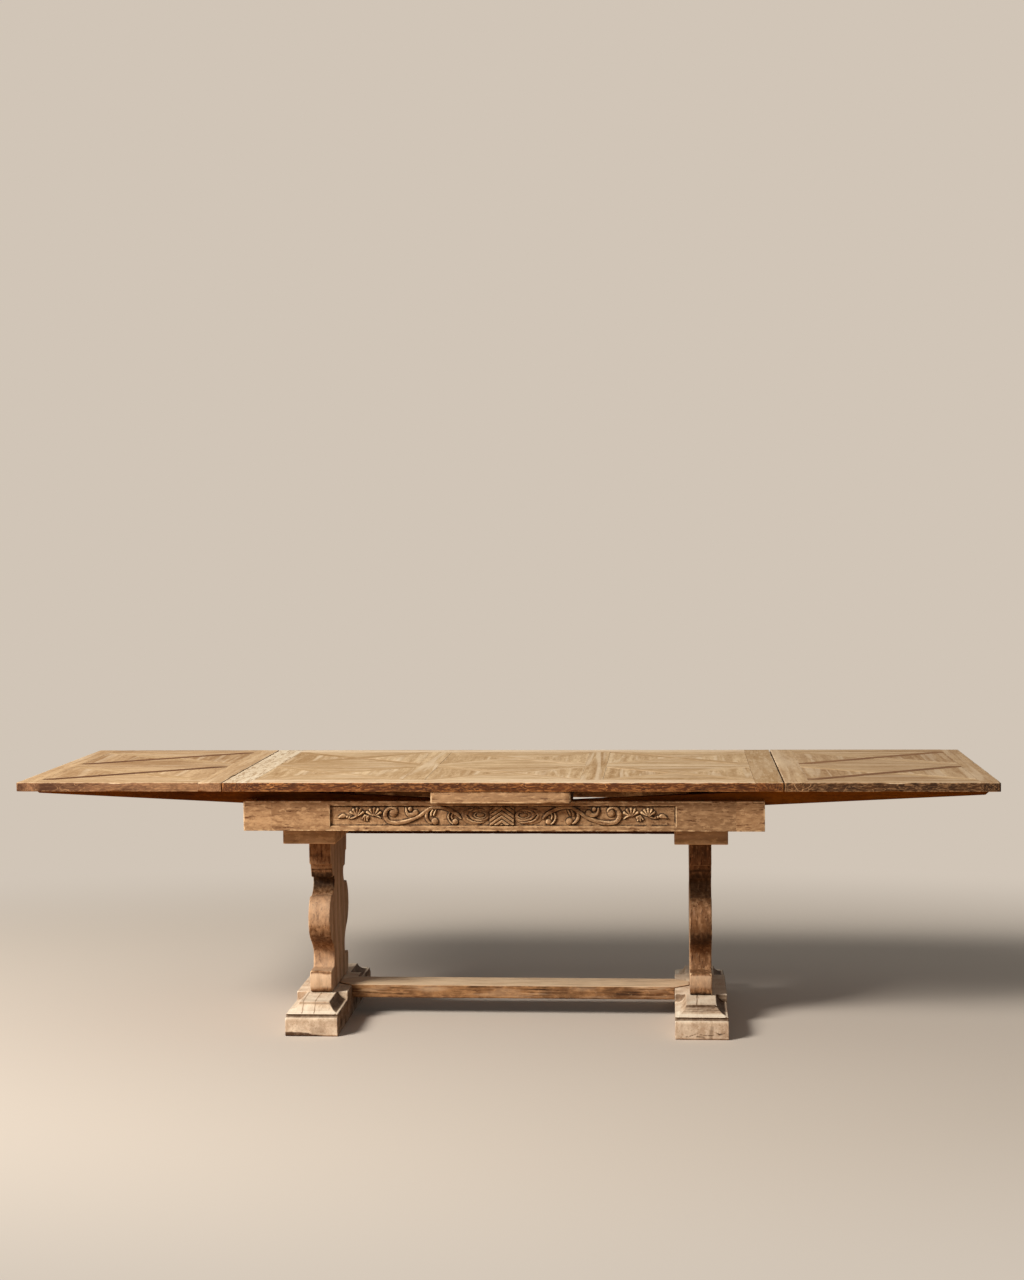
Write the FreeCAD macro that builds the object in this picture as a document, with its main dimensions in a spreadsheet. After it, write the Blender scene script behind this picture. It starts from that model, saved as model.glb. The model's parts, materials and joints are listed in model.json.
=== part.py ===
import FreeCAD, Part
import math
import os
import Sketcher

# An extending draw-leaf table in oak. The frame stands with its origin on the floor under the
# middle of the top. +X runs to the right along the length, +Y to the back and +Z up.
# Everything is in millimetres. The leaves are drawn out, level with the fixed top.

os.makedirs("parts", exist_ok=True)

# Driving dimensions, each written once
DRIVING = {
    # The top and its leaves
    "table_height": 760.0,
    "top_length": 1600.0,
    "top_width": 900.0,
    "board_thickness": 26.0,
    "core_thickness": 12.0,
    "leaf_length": 600.0,
    "leaf_gap": 3.5,
    "top_end_width": 80.0,
    "leaf_outer_width": 55.0,
    "leaf_inner_width": 68.0,
    "border_width": 70.0,
    "cross_band_width": 65.0,
    "cross_band_place": 257.0,
    "mid_rail_width": 60.0,
    # The space in which a closed leaf lies
    "leaf_top_clearance": 3.0,
    "leaf_frame_clearance": 5.0,
    # The frame under the top
    "end_overhang": 50.0,
    "side_overhang": 50.0,
    "frame_height": 86.0,
    "frame_thickness": 28.0,
    "post_width": 82.0,
    "centre_board_inset": 5.0,
    "sunk_end_margin": 168.0,
    "sunk_margin": 14.0,
    "sunk_depth": 7.0,
    "cartouche_width": 74.0,
    "cartouche_margin": 2.0,
    "cartouche_relief": 5.0,
    "cross_rail_width": 60.0,
    "cross_rail_height": 40.0,
    "corner_block_width": 40.0,
    "corner_block_height": 46.0,
    "cleat_thickness": 20.0,
    "cleat_depth": 45.0,
    # The sloping bearers that carry the leaves
    "loper_thickness": 30.0,
    "loper_depth": 40.0,
    "loper_tail_place": 120.0,
    "loper_end_inset": 20.0,
    "loper_nose_length": 12.0,
    "loper_nose_height": 10.0,
    "loper_side_clearance": 2.0,
    "loper_pair_gap": 5.0,
    "loper_seat_clearance": 0.5,
    "notch_side_clearance": 0.5,
    "notch_floor_clearance": 0.3,
    "stop_length": 26.0,
    "stop_height": 12.0,
    "stop_clearance": 0.3,
    # The two trestles
    "leg_inset": 180.0,
    "leg_thickness": 66.0,
    "leg_belly_half": 185.0,
    "bolster_width": 155.0,
    "bolster_length": 670.0,
    "bolster_height": 48.0,
    "leg_tenon_thickness": 30.0,
    "leg_tenon_half": 60.0,
    "leg_tenon_length": 34.0,
    "foot_width": 155.0,
    "foot_half_length": 345.0,
    "foot_deck_height": 89.0,
    "foot_deck_half": 280.0,
    "toe_height": 54.0,
    "toe_tuck": 4.0,
    "toe_round": 8.0,
    "quirk_depth": 16.0,
    "quirk_height": 9.0,
    "lip_inset": 10.0,
    "lip_height": 3.0,
    "deck_lip_height": 4.0,
    "deck_lip_depth": 3.0,
    "scoop_radius": 34.0,
    "scoop_rise": 9.0,
    "scoop_inner_place": 142.0,
    # The rails between the trestles
    "stretcher_width": 120.0,
    "stretcher_thickness": 40.0,
    "stretcher_top": 93.0,
    "stretcher_tenon_width": 80.0,
    "stretcher_tenon_thickness": 24.0,
    "stretcher_tenon_length": 50.0,
    "stretcher_lap_half": 24.0,
    "stretcher_lap_clearance": 1.0,
    "upper_rail_width": 40.0,
    "upper_rail_drop": 14.0,
    "upper_rail_clearance": 2.0,
    "upper_rail_tenon_height": 24.0,
    "upper_rail_tenon_length": 36.0,
    # Pegs, bolts and screws
    "peg_radius": 10.0,
    "peg_length": 30.0,
    "peg_nose": 4.0,
    "peg_place": 220.0,
    "peg_hole_clearance": 0.5,
    "bolt_radius": 5.0,
    "bolt_head_radius": 11.0,
    "bolt_head_height": 8.0,
    "bolt_sink": 14.0,
    "bolt_hold": 50.0,
    "bolster_bolt_hold": 30.0,
    "foot_bolt_place": 110.0,
    "bolster_bolt_place": 250.0,
    "screw_radius": 2.5,
    "screw_head_radius": 5.0,
    "screw_head_height": 3.5,
    "screw_sink": 6.0,
    "screw_hold": 9.0,
    "board_screw_hold": 40.0,
    "board_screw_inset": 50.0,
    "loper_screw_inset": 60.0,
    "head_clearance": 0.5,
    # What every cutter runs past the face that it cuts
    "overrun": 2.0,
}

# Half width of the diagonal laths, as a share of the cell that they cross
LATH_SHARE = 0.07

# The leg's edge from the foot up: half width as a share of the belly's and height as a share
# of the leg's length. A line point is a corner, and a bow point lies on the arc between the
# corners before and after it.
LEG_EDGE_SHARES = (
    (0.800, 0.000, "line"),
    (0.862, 0.010, "bow"),
    (0.888, 0.034, "line"),
    (0.905, 0.085, "bow"),
    (0.880, 0.140, "line"),
    (0.575, 0.142, "line"),
    (0.530, 0.190, "bow"),
    (0.545, 0.243, "line"),
    (0.640, 0.285, "bow"),
    (0.820, 0.330, "line"),
    (0.998, 0.470, "bow"),
    (0.800, 0.612, "line"),
    (0.520, 0.640, "bow"),
    (0.455, 0.690, "line"),
    (0.500, 0.722, "line"),
    (0.650, 0.722, "line"),
    (0.690, 0.770, "bow"),
    (0.735, 0.812, "line"),
    (0.822, 0.812, "line"),
    (0.836, 0.905, "bow"),
    (0.815, 1.000, "line"),
)

# Where a loper's screws stand along the leaf, as shares of the length between the end ones
LOPER_SCREW_SHARES = (0.0, 0.5, 1.0)

# Halfway across a cell of the parquetry
MIDDLE_SHARE = 0.5

# How far the middle of a quarter arc lies in from its corner, as a share of the radius
ARC_SHARE = 1 - math.sqrt(0.5)

# Middle of the arc of the foot's end cove, as shares of the cove's width and height from its lip
COVE_SHARES = (0.56, 0.14)

HALF_TURN = FreeCAD.Placement(FreeCAD.Vector(), FreeCAD.Rotation(FreeCAD.Vector(0, 0, 1), 180))

doc = FreeCAD.newDocument("draw_leaf_table")
pieces = []


class Size:
    """A size with its number now and the expression that gives it from the sheet."""

    def __init__(self, number, text):
        self.number = number
        self.text = text

    def __add__(self, other):
        other = as_size(other)
        return Size(self.number + other.number, f"({self.text} + {other.text})")

    def __sub__(self, other):
        other = as_size(other)
        return Size(self.number - other.number, f"({self.text} - {other.text})")

    def __mul__(self, other):
        other = as_size(other)
        return Size(self.number * other.number, f"({self.text} * {other.text})")

    def __truediv__(self, other):
        other = as_size(other)
        return Size(self.number / other.number, f"({self.text} / {other.text})")

    def __neg__(self):
        return Size(-self.number, f"(-1 * {self.text})")


def as_size(value):
    """Any plain number as a Size."""
    return value if isinstance(value, Size) else Size(float(value), f"({float(value)!r})")


def make_sheet():
    """The spreadsheet of driving dimensions, and each one as a Size."""
    sheet = doc.addObject("Spreadsheet::Sheet", "Sizes")
    sizes = {}
    for row, (alias, number) in enumerate(DRIVING.items(), start=1):
        sheet.set(f"A{row}", alias)
        sheet.set(f"B{row}", str(number))
        sheet.setAlias(f"B{row}", alias)
        sizes[alias] = Size(number, f"Sizes.{alias}")
    doc.recompute()
    return sizes


S = make_sheet()
ZERO = as_size(0)

# Heights above the floor
TOP_FACE = S["table_height"]
TOP_UNDER = TOP_FACE - S["board_thickness"]
CORE_TOP = TOP_UNDER + S["core_thickness"]
BOARD_SPACE = S["leaf_frame_clearance"] + S["board_thickness"] + S["leaf_top_clearance"]
FRAME_TOP = TOP_UNDER - BOARD_SPACE
FRAME_UNDER = FRAME_TOP - S["frame_height"]
BOLSTER_UNDER = FRAME_UNDER - S["bolster_height"]
LEG_LENGTH = BOLSTER_UNDER - S["foot_deck_height"]
STRETCHER_UNDER = S["stretcher_top"] - S["stretcher_thickness"]

# Lengths along X and Y from the middle
TOP_END = S["top_length"] / 2
TOP_SIDE = S["top_width"] / 2
FIELD_SIDE = TOP_SIDE - S["border_width"]
FRAME_END = TOP_END - S["end_overhang"]
FRAME_SIDE = TOP_SIDE - S["side_overhang"]
FRAME_INNER_END = FRAME_END - S["frame_thickness"]
FRAME_INNER_SIDE = FRAME_SIDE - S["frame_thickness"]
LEAF_NEAR = TOP_END + S["leaf_gap"]
LEAF_FAR = LEAF_NEAR + S["leaf_length"]
CENTRE_BOARD_HALF = TOP_END - S["leaf_length"]
CENTRE_BOARD_SIDE = TOP_SIDE - S["centre_board_inset"]
APRON_END = FRAME_END - S["post_width"]
LEG_PLACE = FRAME_END - S["leg_inset"]
TRESTLE_INNER = LEG_PLACE - S["foot_width"] / 2
BOLSTER_INNER = LEG_PLACE - S["bolster_width"] / 2

# The leaf drops by its own thickness and its clearance while it slides in by its own length
LOPER_SLOPE = (S["board_thickness"] + S["leaf_top_clearance"]) / S["leaf_length"]
LOPER_SEAT = FRAME_TOP - S["loper_seat_clearance"]
LOPER_END = LEAF_FAR - S["loper_end_inset"]
OUTER_LOPER = FRAME_INNER_SIDE - S["loper_side_clearance"] - S["loper_thickness"] / 2
INNER_LOPER = OUTER_LOPER - S["loper_thickness"] - S["loper_pair_gap"]


def loper_top_at(place):
    """Height of a loper's upper edge at a distance from the middle of the table."""
    return LOPER_SEAT + (place - CENTRE_BOARD_HALF) * LOPER_SLOPE


def loper_under_at(place):
    """Height of a loper's lower edge at a distance from the middle of the table."""
    return loper_top_at(place) - S["loper_depth"]


# Ways of making a shape

def keep(label, shape, turned=False):
    """Names a finished piece; a turned one stands half a turn round on the other side."""
    shape.Label = label
    if turned:
        shape.Placement = HALF_TURN
    pieces.append(shape)
    return shape


def block(name, low, high):
    """A square-edged block between two opposite corners."""
    box = doc.addObject("Part::Box", name)
    for length, start, end in zip(("Length", "Width", "Height"), low, high):
        box.setExpression(length, (as_size(end) - as_size(start)).text)
    for axis, start in zip("xyz", low):
        box.setExpression(f"Placement.Base.{axis}", as_size(start).text)
    return box


def board(label, low, high, turned=False):
    """A plain board kept as a piece, on this side or turned to the other."""
    if turned:
        low, high = (-high[0], -high[1], low[2]), (-low[0], -low[1], high[2])
    return keep(label, block(label, low, high))


def rod(name, x, y, low, high, radius):
    """An upright round bar."""
    bar = doc.addObject("Part::Cylinder", name)
    bar.setExpression("Radius", radius.text)
    bar.setExpression("Height", (high - low).text)
    for axis, start in zip("xyz", (x, y, low)):
        bar.setExpression(f"Placement.Base.{axis}", as_size(start).text)
    return bar


def lying_rod(name, x, z, start, end, radius):
    """A round bar that lies along Y."""
    bar = doc.addObject("Part::Cylinder", name)
    bar.setExpression("Radius", radius.text)
    bar.setExpression("Height", (end - start).text)
    bar.Placement.Rotation = FreeCAD.Rotation(FreeCAD.Vector(1, 0, 0), -90)
    for axis, place in zip("xyz", (x, start, z)):
        bar.setExpression(f"Placement.Base.{axis}", as_size(place).text)
    return bar


def cut(name, base, tools):
    """The base with every tool taken out of it."""
    for number, tool in enumerate(tools, start=1):
        result = doc.addObject("Part::Cut", f"{name}_cut_{number}")
        result.Base = base
        result.Tool = tool
        base = result
    return base


def joined(name, shapes):
    """Shapes grown together into one solid."""
    fuse = doc.addObject("Part::MultiFuse", name)
    fuse.Shapes = shapes
    fuse.Refine = True
    return fuse


def group(name, shapes):
    """Separate solids kept together in one node."""
    compound = doc.addObject("Part::Compound", name)
    compound.Links = shapes
    return compound


def fix_point(sketch, geometry, position, place):
    """Ties a sketch point to the sheet by its two distances from the origin."""
    for kind, size in zip(("DistanceX", "DistanceY"), place):
        constraint = Sketcher.Constraint(kind, -1, 1, geometry, position, size.number)
        index = sketch.addConstraint(constraint)
        sketch.setExpression(f"Constraints[{index}]", size.text)


def draw_outline(sketch, points):
    """Closes an outline of (x, y, kind) points; a bow point lies on the arc to the next point."""
    corners = [point for point in points if point[2] == "line"]
    vector = [FreeCAD.Vector(x.number, y.number, 0) for x, y, kind in points]
    ends = []
    for start, point in enumerate(points):
        if point[2] != "line":
            continue
        after = (start + 1) % len(points)
        if points[after][2] == "line":
            edge = sketch.addGeometry(Part.LineSegment(vector[start], vector[after]), False)
            ends.append((edge, 1, 2))
            continue
        beyond = (start + 2) % len(points)
        first, middle, last = vector[start], vector[after], vector[beyond]
        leftward = (middle - first).cross(last - first).z > 0
        if leftward:
            edge = sketch.addGeometry(Part.Arc(first, middle, last), False)
            ends.append((edge, 1, 2))
        else:
            edge = sketch.addGeometry(Part.Arc(last, middle, first), False)
            ends.append((edge, 2, 1))
        mark = sketch.addGeometry(Part.Point(middle), True)
        fix_point(sketch, mark, 1, points[after][:2])
        sketch.addConstraint(Sketcher.Constraint("PointOnObject", mark, 1, edge))
    for number, (edge, start, end) in enumerate(ends):
        following, following_start = ends[(number + 1) % len(ends)][:2]
        sketch.addConstraint(
            Sketcher.Constraint("Coincident", edge, end, following, following_start))
        fix_point(sketch, edge, start, corners[number][:2])


def padded(body, plane, outline, start, thickness):
    """Adds to a body an outline on one of its planes, from a distance along the normal."""
    sketch = body.newObject("Sketcher::SketchObject", f"{body.Name}_outline")
    for feature in body.Origin.OriginFeatures:
        if feature.Role == plane:
            sketch.AttachmentSupport = (feature, [""])
    sketch.MapMode = "FlatFace"
    sketch.setExpression("AttachmentOffset.Base.z", start.text)
    draw_outline(sketch, outline)
    pad = body.newObject("PartDesign::Pad", f"{body.Name}_pad")
    pad.Profile = sketch
    pad.setExpression("Length", thickness.text)
    return body


def profile_body(name, plane, outline, start, thickness):
    """A body made by padding one outline."""
    return padded(doc.addObject("PartDesign::Body", name), plane, outline, start, thickness)


def inlay(name, outlines, low, high):
    """Flat pieces of one thickness that lie side by side, one solid for each outline."""
    sketch = doc.addObject("Sketcher::SketchObject", f"{name}_outlines")
    sketch.setExpression("Placement.Base.z", low.text)
    for outline in outlines:
        draw_outline(sketch, outline)
    flat = doc.addObject("Part::Extrusion", name)
    flat.Base = sketch
    flat.DirMode = "Custom"
    flat.Dir = FreeCAD.Vector(0, 0, 1)
    flat.Solid = True
    flat.setExpression("LengthFwd", (high - low).text)
    return flat


def rectangle(low, high):
    """A rectangle's outline between two opposite corners."""
    (left, bottom), (right, top) = low, high
    corners = ((left, bottom), (right, bottom), (right, top), (left, top))
    return [(as_size(x), as_size(y), "line") for x, y in corners]


def sunk_screw(name, x, y, face, tip, upward):
    """A flat-headed screw whose head lies sunk in a face, and the hole that it fills."""
    way = as_size(1 if upward else -1)
    head_low = face + way * S["screw_sink"]
    head_high = head_low + way * S["screw_head_height"]
    outside = face - way * S["overrun"]
    screw_parts = []
    hole_parts = []
    spans = (
        (screw_parts, "shank", head_high, tip, S["screw_radius"]),
        (screw_parts, "head", head_low, head_high, S["screw_head_radius"]),
        (hole_parts, "shank_hole", head_high, tip, S["screw_radius"]),
        (hole_parts, "head_hole", outside, head_high, S["screw_head_radius"] + S["head_clearance"]),
    )
    for parts, part_name, first, last, radius in spans:
        low, high = (first, last) if upward else (last, first)
        parts.append(rod(f"{name}_{part_name}", x, y, low, high, radius))
    return joined(f"{name}_screw", screw_parts), joined(f"{name}_hole", hole_parts)


def sunk_bolt(name, x, y, face, tip):
    """A bolt driven up from a sunk hole in an under face, and the hole that it fills."""
    head_low = face + S["bolt_sink"] - S["bolt_head_height"]
    head_high = face + S["bolt_sink"]
    wide = S["bolt_head_radius"] + S["head_clearance"]
    bolt = joined(f"{name}_bolt", [
        rod(f"{name}_shank", x, y, head_high, tip, S["bolt_radius"]),
        rod(f"{name}_head", x, y, head_low, head_high, S["bolt_head_radius"])])
    hole = joined(f"{name}_hole", [
        rod(f"{name}_shank_hole", x, y, head_high, tip, S["bolt_radius"]),
        rod(f"{name}_head_hole", x, y, face - S["overrun"], head_high, wide)])
    return bolt, hole


# The trestles

def leg_outline():
    """The leg's outline seen from the end: up one edge and down the other."""
    edge = []
    for half_share, level_share, kind in LEG_EDGE_SHARES:
        half = S["leg_belly_half"] * half_share
        level = S["foot_deck_height"] + LEG_LENGTH * level_share
        edge.append((half, level, kind))
    mirrored = [(-half, level, kind) for half, level, kind in reversed(edge)]
    return edge + mirrored


def foot_outline():
    """The foot's outline seen from its side: low toe, quirk, cove and the deck with its lip."""
    far = S["foot_half_length"]
    toe = S["toe_height"]
    deck = S["foot_deck_height"]
    deck_end = S["foot_deck_half"]
    toe_round = S["toe_round"]
    quirk = far - S["quirk_depth"]
    lip = far - S["lip_inset"]
    lip_under = toe + S["quirk_height"]
    lip_top = lip_under + S["lip_height"]
    cove_end = deck_end - S["deck_lip_depth"]
    cove_top = deck - S["deck_lip_height"]
    cove_in, cove_up = COVE_SHARES
    edge = [
        (far - S["toe_tuck"], ZERO, "line"),
        (far, S["toe_tuck"], "line"),
        (far, toe - toe_round, "line"),
        (far - toe_round * ARC_SHARE, toe - toe_round * ARC_SHARE, "bow"),
        (far - toe_round, toe, "line"),
        (quirk, toe, "line"),
        (quirk, lip_under, "line"),
        (lip, lip_under, "line"),
        (lip, lip_top, "line"),
        (lip - (lip - cove_end) * cove_in, lip_top + (cove_top - lip_top) * cove_up, "bow"),
        (cove_end, cove_top, "line"),
        (deck_end, cove_top, "line"),
        (deck_end, deck, "line"),
    ]
    mirrored = [(-place, level, kind) for place, level, kind in reversed(edge)]
    return edge + mirrored


def make_trestle(side):
    """A foot, a leg and a bolster with the bolts that hold them."""
    turned = side == "left"
    middle = LEG_PLACE
    tenon_low = S["foot_deck_height"] - S["leg_tenon_length"]
    tenon_high = BOLSTER_UNDER + S["leg_tenon_length"]
    tenon_near = middle - S["leg_tenon_thickness"] / 2
    tenon_far = middle + S["leg_tenon_thickness"] / 2

    foot_bolts, foot_holes, bolster_bolts, bolster_holes = [], [], [], []
    for way, end in ((-1, "front"), (1, "back")):
        name = f"{side}_{end}"
        foot_tip = S["foot_deck_height"] + S["bolt_hold"]
        bolt, hole = sunk_bolt(f"{name}_foot", middle, S["foot_bolt_place"] * way, ZERO, foot_tip)
        foot_bolts.append(bolt)
        foot_holes.append(hole)
        rail_tip = FRAME_UNDER + S["bolster_bolt_hold"]
        bolt, hole = sunk_bolt(
            f"{name}_bolster", middle, S["bolster_bolt_place"] * way, BOLSTER_UNDER, rail_tip)
        bolster_bolts.append(bolt)
        bolster_holes.append(hole)

    leg = profile_body(
        f"{side}_leg_body", "YZ_Plane", leg_outline(), middle - S["leg_thickness"] / 2,
        S["leg_thickness"])
    tenon = rectangle((-S["leg_tenon_half"], tenon_low), (S["leg_tenon_half"], tenon_high))
    padded(leg, "YZ_Plane", tenon, tenon_near, S["leg_tenon_thickness"])
    keep(f"{side}_leg", cut(f"{side}_leg", leg, foot_holes), turned)

    foot = profile_body(
        f"{side}_foot_body", "YZ_Plane", foot_outline(), middle - S["foot_width"] / 2,
        S["foot_width"])
    tools = list(foot_holes)
    tools.append(block(
        f"{side}_foot_mortise", (tenon_near, -S["leg_tenon_half"], tenon_low),
        (tenon_far, S["leg_tenon_half"], S["foot_deck_height"] + S["overrun"])))
    tools.append(block(
        f"{side}_stretcher_mortise",
        (TRESTLE_INNER - S["overrun"], -S["stretcher_tenon_width"] / 2, stretcher_tenon_low()),
        (TRESTLE_INNER + S["stretcher_tenon_length"], S["stretcher_tenon_width"] / 2,
         stretcher_tenon_high())))
    for edge_way, edge_name in ((-1, "inner"), (1, "outer")):
        edge = middle + S["foot_width"] / 2 * edge_way
        for way, end in ((-1, "front"), (1, "back")):
            ends = (S["scoop_inner_place"], S["foot_half_length"] + S["overrun"])
            start, stop = ends if way > 0 else (-ends[1], -ends[0])
            tools.append(lying_rod(
                f"{side}_{end}_{edge_name}_scoop", edge, S["foot_deck_height"] + S["scoop_rise"],
                start, stop, S["scoop_radius"]))
    keep(f"{side}_foot", cut(f"{side}_foot", foot, tools), turned)

    bolster = block(
        f"{side}_bolster_blank", (BOLSTER_INNER, -S["bolster_length"] / 2, BOLSTER_UNDER),
        (BOLSTER_INNER + S["bolster_width"], S["bolster_length"] / 2, FRAME_UNDER))
    tools = list(bolster_holes)
    tools.append(block(
        f"{side}_bolster_mortise",
        (tenon_near, -S["leg_tenon_half"], BOLSTER_UNDER - S["overrun"]),
        (tenon_far, S["leg_tenon_half"], tenon_high)))
    rail_low, rail_high = upper_tenon_levels()
    tools.append(block(
        f"{side}_rail_mortise",
        (BOLSTER_INNER - S["overrun"], -S["upper_rail_width"] / 2, rail_low),
        (BOLSTER_INNER + S["upper_rail_tenon_length"], S["upper_rail_width"] / 2, rail_high)))
    keep(f"{side}_bolster", cut(f"{side}_bolster", bolster, tools), turned)

    half_rail = S["cross_rail_width"] / 2
    rail = block(
        f"{side}_cross_rail_blank", (middle - half_rail, -FRAME_INNER_SIDE, FRAME_UNDER),
        (middle + half_rail, FRAME_INNER_SIDE, FRAME_UNDER + S["cross_rail_height"]))
    keep(f"{side}_cross_rail", cut(f"{side}_cross_rail", rail, bolster_holes), turned)
    sets = group(f"{side}_foot_bolts", foot_bolts), group(f"{side}_bolster_bolts", bolster_bolts)
    if turned:
        for bolts in sets:
            bolts.Placement = HALF_TURN
    return sets


def make_trestles():
    """Both trestles, with the bolts of each kind kept together."""
    sets = [make_trestle(side) for side in ("left", "right")]
    for label, bolts in zip(("foot_bolts", "bolster_bolts"), zip(*sets)):
        keep(label, group(label, list(bolts)))


# The rails between the trestles

def stretcher_tenon_low():
    """Under side of the stretcher's tenon."""
    return STRETCHER_UNDER + (S["stretcher_thickness"] - S["stretcher_tenon_thickness"]) / 2


def stretcher_tenon_high():
    """Upper side of the stretcher's tenon."""
    return stretcher_tenon_low() + S["stretcher_tenon_thickness"]


def upper_tenon_levels():
    """Under and upper sides of the upper rail's tenon."""
    middle = BOLSTER_UNDER + S["bolster_height"] / 2
    half = S["upper_rail_tenon_height"] / 2
    return middle - half, middle + half


def make_long_rails():
    """The low stretcher, which laps over the feet, and the upper rail, each with two tenons."""
    tenon_end = TRESTLE_INNER + S["stretcher_tenon_length"]
    half = S["stretcher_width"] / 2
    tenon_half = S["stretcher_tenon_width"] / 2
    lap_end = LEG_PLACE - S["leg_thickness"] / 2 - S["stretcher_lap_clearance"]
    lap_half = S["stretcher_lap_half"]
    solids = [
        block("stretcher_board", (-TRESTLE_INNER, -half, STRETCHER_UNDER),
              (TRESTLE_INNER, half, S["stretcher_top"])),
        block("stretcher_tenon", (-tenon_end, -tenon_half, stretcher_tenon_low()),
              (tenon_end, tenon_half, stretcher_tenon_high()))]
    for way, end in ((-1, "left"), (1, "right")):
        outline = [
            (TRESTLE_INNER * way, -half * way, "line"),
            (lap_end * way, -lap_half * way, "line"),
            (lap_end * way, lap_half * way, "line"),
            (TRESTLE_INNER * way, half * way, "line"),
        ]
        solids.append(profile_body(
            f"{end}_stretcher_lap", "XY_Plane", outline, S["foot_deck_height"],
            S["stretcher_top"] - S["foot_deck_height"]))
    keep("stretcher", joined("stretcher_joined", solids))

    half_width = S["upper_rail_width"] / 2
    tenon_end = BOLSTER_INNER + S["upper_rail_tenon_length"]
    low, high = upper_tenon_levels()
    keep("upper_rail", joined("upper_rail_joined", [
        block("upper_rail_bar", (-BOLSTER_INNER, -half_width, BOLSTER_UNDER - S["upper_rail_drop"]),
              (BOLSTER_INNER, half_width, FRAME_UNDER - S["upper_rail_clearance"])),
        block("upper_rail_tenon", (-tenon_end, -half_width, low), (tenon_end, half_width, high))]))


# The frame under the top

def loper_rows(side):
    """Middle lines of the front and back lopers, as they lie before the side is turned."""
    return (("front", -OUTER_LOPER), ("back", INNER_LOPER)) if side == "right" else (
        ("back", -OUTER_LOPER), ("front", INNER_LOPER))


def make_apron(label, turned, screw_holes):
    """A carved long rail with a sunk panel and a raised square in its middle."""
    blank = block(f"{label}_blank", (-APRON_END, -FRAME_SIDE, FRAME_UNDER),
                  (APRON_END, -FRAME_INNER_SIDE, FRAME_TOP))
    sunk_half = APRON_END - S["sunk_end_margin"]
    sunk_floor = S["sunk_depth"] - FRAME_SIDE
    sunk_low = FRAME_UNDER + S["sunk_margin"]
    sunk_high = FRAME_TOP - S["sunk_margin"]
    sunk = block(f"{label}_sunk", (-sunk_half, -FRAME_SIDE - S["overrun"], sunk_low),
                 (sunk_half, sunk_floor, sunk_high))
    cartouche_half = S["cartouche_width"] / 2
    cartouche = block(
        f"{label}_cartouche",
        (-cartouche_half, sunk_floor - S["cartouche_relief"], sunk_low + S["cartouche_margin"]),
        (cartouche_half, sunk_floor, sunk_high - S["cartouche_margin"]))
    carved = joined(f"{label}_carved", [cut(label, blank, [sunk]), cartouche])
    keep(label, cut(f"{label}_bored", carved, screw_holes), turned)


def make_end_rail(side):
    """An end rail with a sloping notch for each loper."""
    blank = block(f"{side}_end_rail_blank", (FRAME_INNER_END, -FRAME_INNER_SIDE, FRAME_UNDER),
                  (FRAME_END, FRAME_INNER_SIDE, FRAME_TOP))
    near = FRAME_INNER_END - S["overrun"]
    far = FRAME_END + S["overrun"]
    above = FRAME_TOP + S["overrun"]
    outline = [
        (near, loper_under_at(near) - S["notch_floor_clearance"], "line"),
        (far, loper_under_at(far) - S["notch_floor_clearance"], "line"),
        (far, above, "line"),
        (near, above, "line"),
    ]
    width = S["loper_thickness"] + S["notch_side_clearance"] * 2
    tools = []
    for end, middle in loper_rows(side):
        tools.append(profile_body(
            f"{side}_{end}_notch", "XZ_Plane", outline, -middle - width / 2, width))
    keep(f"{side}_end_rail", cut(f"{side}_end_rail", blank, tools), side == "left")


def make_centre_board():
    """The fixed board that carries the top, with the screws that hold it to the aprons."""
    half = CENTRE_BOARD_HALF
    screws, holes = [], {-1: [], 1: []}
    for row in (-1, 1):
        for column in (-1, 1):
            screw, hole = sunk_screw(
                f"board_{'front' if row < 0 else 'back'}_{'left' if column < 0 else 'right'}",
                (half - S["board_screw_inset"]) * column,
                (FRAME_SIDE - S["frame_thickness"] / 2) * row,
                TOP_UNDER, FRAME_TOP - S["board_screw_hold"], False)
            screws.append(screw)
            holes[row].append(hole)
    tools = holes[-1] + holes[1]
    hole_radius = S["peg_radius"] + S["peg_hole_clearance"]
    for way, end in ((-1, "front"), (1, "back")):
        tools.append(rod(f"{end}_peg_hole", ZERO, S["peg_place"] * way, FRAME_TOP - S["overrun"],
                         TOP_UNDER + S["overrun"], hole_radius))
    blank = block("centre_board_blank", (-half, -CENTRE_BOARD_SIDE, FRAME_TOP),
                  (half, CENTRE_BOARD_SIDE, TOP_UNDER))
    keep("centre_board", cut("centre_board", blank, tools))
    keep("centre_board_screws", group("centre_board_screws", screws))
    return holes


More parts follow.
